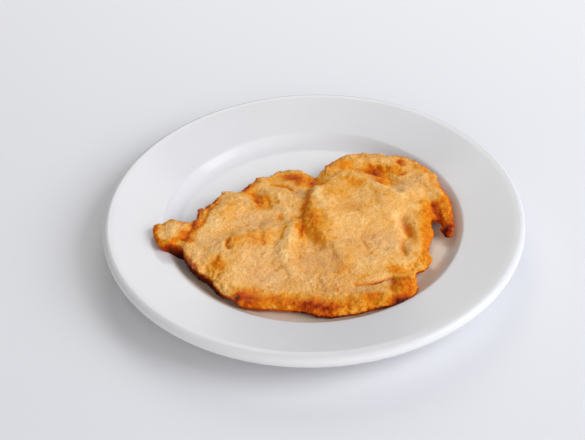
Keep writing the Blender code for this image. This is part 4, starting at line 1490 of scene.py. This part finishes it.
# ------------------------------------------------------------------------------ crumbs
@dataclass
class Crumbs:
    """Flat, angular crumbs, half sunk in the crust and joined into one mesh."""

    count: int = 8200
    tried: int = 30000             # places that the crumbs are picked from
    smallest: float = 0.26
    largest: float = 0.72
    patch_size: float = 7.0        # size of the thick and thin areas of the coat
    flatness: float = 0.55         # a crumb's height, as a share of its width
    angular: float = 0.22          # how far its corners stand out and in
    sunk: float = 0.15             # how deep a crumb's middle sits, as a share of its width
    small_ones: float = 2.2        # the more, the rarer large crumbs are
    patchiness: float = 1.6        # how much thicker the thick areas are
    under: float = 0.15            # how thickly the underside is strewn, against the upper side
    under_slopes: Pair = (-0.4, 0.3)     # upward parts of the normals between which it thickens
    lengths: Pair = (0.85, 0.5)    # the least share of a crumb's size, and
    widths: Pair = (0.65, 0.4)     # how much more it can be
    heights: Pair = (0.7, 0.6)
    browner: Pair = (-0.015, 0.025)      # against the crust: mean and spread
    dustier: Pair = (0.04, 0.06)
    brown_most: float = 0.97
    dust_most: float = 0.8
    dust_ends: Pair = (0.2, 0.5)   # dust goes as browning rises over this
    air: float = 0.05              # the least air between crumbs and glaze
    highest: float = 22.95         # no crumb stands above this
    seed: int = 7

    def build(self, crust: bpy.types.Object, plate: Plate, finish: CrustFinish,
              effects: Effects) -> bpy.types.Object:
        """Scatter the crumbs over the crust.

        Args:
            crust: the finished crust.
            plate: what the cutlet lies on.
            finish: the crumbs' finish.
            effects: the shared node groups.

        Returns:
            The crumbs.
        """
        rng = np.random.default_rng(self.seed)
        skin = Skin(crust.data)
        normals = skin.normals()
        place, out, corner = self._places(skin, normals, rng)
        size = (self.smallest
                + (self.largest - self.smallest) * rng.random(self.count) ** self.small_ones)
        vertices, faces = self._flakes(place - out * (self.sunk * size)[:, None], out, size, rng)
        radius = np.linalg.norm(vertices[:, :2], axis=1)
        rest = plate.height_at(radius) + self.air
        vertices[:, 2] = np.clip(vertices[:, 2], rest, np.maximum(rest, self.highest))
        joined = bpy.data.meshes.new("crumbs")
        joined.from_pydata((vertices * MM).tolist(), [], faces.tolist())
        each = len(vertices) // self.count
        fried = skin.read("browning")[corner] + rng.normal(*self.browner, self.count)
        Skin(joined).label("browning", np.repeat(fried.clip(0.0, self.brown_most), each))
        dusty = skin.read("flour")[corner] + rng.normal(*self.dustier, self.count)
        dusty *= 1.0 - smoothstep(fried, *self.dust_ends)
        Skin(joined).label("flour", np.repeat(dusty.clip(0.0, self.dust_most), each))
        joined.materials.append(finish.material(effects))
        crumbs = placed("crumbs", joined)
        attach(crumbs, "root")
        LOG.info("crumbs: %d", self.count)
        return crumbs

    def _places(self, skin: Skin, normals: np.ndarray,
                rng: np.random.Generator) -> tuple[np.ndarray, np.ndarray, np.ndarray]:
        """Pick where the crumbs sit, thickly in some areas and thinly in others.

        Args:
            skin: the crust.
            normals: its unit normals.
            rng: the source of chance.

        Returns:
            Each crumb's place, its outward direction and the nearest point of the crust.
        """
        skin.mesh.calc_loop_triangles()
        corners = np.empty(len(skin.mesh.loop_triangles) * 3, dtype=np.int32)
        skin.mesh.loop_triangles.foreach_get("vertices", corners)
        corners = corners.reshape(-1, 3)
        a, b, c = (skin.points[corners[:, k]] for k in range(3))
        area = np.linalg.norm(np.cross(b - a, c - a), axis=1)
        facing = normals[corners[:, 0], 2]
        upper = smoothstep(facing, *self.under_slopes)
        weight = area * (self.under + (1.0 - self.under) * upper)
        tried = rng.choice(len(corners), self.tried, p=weight / weight.sum())
        mix = rng.dirichlet((1.0, 1.0, 1.0), self.tried)
        place = np.einsum("nk,nkd->nd", mix, skin.points[corners[tried]])
        thick = np.exp(self.patchiness * fractal(place, self.patch_size, 2, seed=61.0))
        kept = rng.choice(self.tried, self.count, replace=False, p=thick / thick.sum())
        corner = corners[tried[kept], 0]
        return place[kept], normals[corner], corner

    def _flakes(self, place: np.ndarray, out: np.ndarray, size: np.ndarray,
                rng: np.random.Generator) -> tuple[np.ndarray, np.ndarray]:
        """Shape the crumbs, each lying along the crust.

        Args:
            place: their middles.
            out: their outward directions.
            size: their half widths.
            rng: the source of chance.

        Returns:
            The vertices and faces of all the crumbs.
        """
        ball, faces = self._ball()
        count = len(place)
        turn = rng.random(count) * math.tau
        flat = np.column_stack([np.cos(turn), np.sin(turn), np.zeros(count)])
        along = np.cross(flat, out)
        along /= np.linalg.norm(along, axis=1)[:, None]
        across = np.cross(out, along)
        jags = rng.standard_normal((count, len(ball), 1)).clip(-1.5, 1.5)
        shape = ball[None] * (1.0 + self.angular * jags)
        long, wide, high = (least + more * rng.random(count)
                            for least, more in (self.lengths, self.widths, self.heights))
        stretch = np.column_stack([long, wide, self.flatness * high])
        shape = shape * (stretch * size[:, None])[:, None, :]
        frame_axes = np.stack([along, across, out], axis=1)
        vertices = place[:, None, :] + np.einsum("nvk,nkd->nvd", shape, frame_axes)
        shift = np.arange(count)[:, None, None] * len(ball)
        return vertices.reshape(-1, 3), (faces[None] + shift).reshape(-1, 3)

    @staticmethod
    def _ball() -> tuple[np.ndarray, np.ndarray]:
        """Make a twenty-sided ball of radius 1.

        Returns:
            Its points and faces.
        """
        golden = (1.0 + math.sqrt(5.0)) / 2.0
        points = np.array([(x, y * golden, 0.0) for x in (-1.0, 1.0) for y in (-1.0, 1.0)])
        points = np.vstack([points, points[:, [2, 0, 1]], points[:, [1, 2, 0]]])
        points = points / np.linalg.norm(points[0])
        faces = []
        for i in range(12):
            for j in range(i + 1, 12):
                for k in range(j + 1, 12):
                    p, q, r = points[i], points[j], points[k]
                    sides = [np.linalg.norm(p - q), np.linalg.norm(q - r), np.linalg.norm(r - p)]
                    if max(sides) < 1.2:
                        outward = np.dot(np.cross(q - p, r - p), p) > 0.0
                        faces.append((i, j, k) if outward else (i, k, j))
        return points, np.array(faces)


# ------------------------------------------------------------------------------ studio
def aimed_from(distance: float, elevation: float, azimuth: float) -> Triple:
    """Return a place round the plate.

    Args:
        distance: metres from the plate's middle.
        elevation: degrees above the floor.
        azimuth: degrees from the right, anticlockwise from above.

    Returns:
        The place in metres.
    """
    rise, turn = math.radians(elevation), math.radians(azimuth)
    return (distance * math.cos(rise) * math.cos(turn), distance * math.cos(rise) * math.sin(turn),
            distance * math.sin(rise))


@dataclass(frozen=True)
class SoftBox:
    """One square soft lamp that faces the plate."""

    name: str
    place: Triple      # metres
    side: float
    watts: float
    colour: Triple = (1.0, 1.0, 1.0)

    def build(self) -> None:
        """Hang the lamp."""
        lamp = bpy.data.lights.new(self.name, "AREA")
        lamp.size = self.side
        lamp.energy = self.watts
        lamp.color = self.colour
        body = placed(self.name, lamp)
        body.location = self.place
        body.rotation_euler = (-Vector(self.place)).to_track_quat("-Z", "Y").to_euler()


@dataclass
class Studio:
    """The pale floor, the soft lamps, the light of the room and the camera."""

    floor_half: float = 8.0                # metres
    front_light: Triple = (1.40, 1.36, 1.28)       # from the front of the room, in linear light
    side_light: Triple = (0.56, 0.59, 0.76)        # from the right
    far_light: Triple = (0.10, 0.10, 0.10)         # from the left
    seen_sky: Triple = (0.86, 0.86, 0.90)          # what the camera sees of the room
    sensor: float = 36.0                   # the camera's width of view and its lens
    lens: float = 62.717
    eye: Triple = (-12.7654, -493.6442, 416.9976)
    pitch: float = 39.4319                 # degrees below the horizon
    roll: float = -2.3157                  # degrees

    def lamps(self) -> tuple[SoftBox, ...]:
        """Return the lamps."""
        return (
            SoftBox("key_softbox", aimed_from(1.9, 35.0, -12.0), 1.25, 23.3, (0.98, 0.99, 1.0)),
            SoftBox("back_softbox", aimed_from(1.4, 35.0, 90.0), 0.7, 5.2, (1.0, 0.98, 0.90)),
            SoftBox("small_softbox", aimed_from(1.3, 62.0, 150.0), 0.15, 0.4),
        )

    def build(self) -> None:
        """Set up the whole studio."""
        self._floor()
        for lamp in self.lamps():
            lamp.build()
        self._sky()
        self._camera()
        bpy.context.scene.view_settings.view_transform = "Standard"
        LOG.info("studio: %d lamps", len(self.lamps()))

    def _floor(self) -> None:
        """Lay the pale floor."""
        half = self.floor_half
        mesh = bpy.data.meshes.new("floor")
        mesh.from_pydata([(-half, -half, 0.0), (half, -half, 0.0), (half, half, 0.0),
                          (-half, half, 0.0)], [], [(0, 1, 2, 3)])
        mesh.materials.append(PaperFinish().material())
        placed("floor", mesh)

    def _sky(self) -> None:
        """Light the room softly from the front and both sides, and show a pale wall."""
        world = bpy.data.worlds.new("studio")
        world.use_nodes = True
        graph = Graph(world.node_tree)
        heading = graph.add("ShaderNodeSeparateXYZ")
        graph.join(graph.place("Generated"), heading.inputs[0])
        light = None
        for axis, sign, colour in (("Y", -1.0, self.front_light), ("X", 1.0, self.side_light),
                                   ("X", -1.0, self.far_light)):
            part = graph.add("ShaderNodeVectorMath", operation="MULTIPLY_ADD")
            graph.join(graph.math("MULTIPLY", heading.outputs[axis], sign, clamp=True),
                       part.inputs[0])
            part.inputs[1].default_value = colour
            if light is not None:
                graph.join(light, part.inputs[2])
            light = part.outputs[0]
        seen = graph.add("ShaderNodeLightPath").outputs["Is Camera Ray"]
        colour = graph.blend(seen, light, (*self.seen_sky, 1.0))
        graph.join(colour, world.node_tree.nodes["Background"].inputs["Color"])
        bpy.context.scene.world = world

    def _camera(self) -> None:
        """Place the camera."""
        data = bpy.data.cameras.new("camera")
        data.sensor_width = self.sensor
        data.lens = self.lens
        pitch, roll = math.radians(self.pitch), math.radians(self.roll)
        ahead = Vector((0.0, math.cos(pitch), -math.sin(pitch)))
        right = Vector((1.0, 0.0, 0.0))
        up = right.cross(ahead)
        level_right = math.cos(roll) * right + math.sin(roll) * up
        level_up = -math.sin(roll) * right + math.cos(roll) * up
        place = Vector(self.eye) * MM
        columns = (level_right, level_up, -ahead, place)
        camera = placed("camera", data)
        camera.matrix_world = Matrix([[column[row] for column in columns] for row in range(3)]
                                     + [[0.0, 0.0, 0.0, 1.0]])
        bpy.context.scene.camera = camera


def main() -> None:
    """Build the studio, the plate, the crust and its crumbs."""
    logging.basicConfig(level=logging.INFO, format="%(name)s: %(message)s")
    effects = Effects()
    Studio().build()
    outline = outline_of(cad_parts["schnitzel"].data)
    plate = Plate()
    plate.build(PorcelainFinish(), outline)
    crust_finish = CrustFinish("crust", mottle=0.02, bump_mm=0.24, coarse=0.9, gap_shade=0.29,
                               rough_low=0.42, rough_high=0.62)
    crumb_finish = CrustFinish("crumb", mottle=0.02, bump_mm=0.08, coarse=0.3, gap_shade=0.10,
                               rough_low=0.45, rough_high=0.65)
    crust = Cutlet().build(outline, plate, crust_finish, effects)
    Crumbs().build(crust, plate, crumb_finish, effects)


if __name__ == "__main__":
    main()
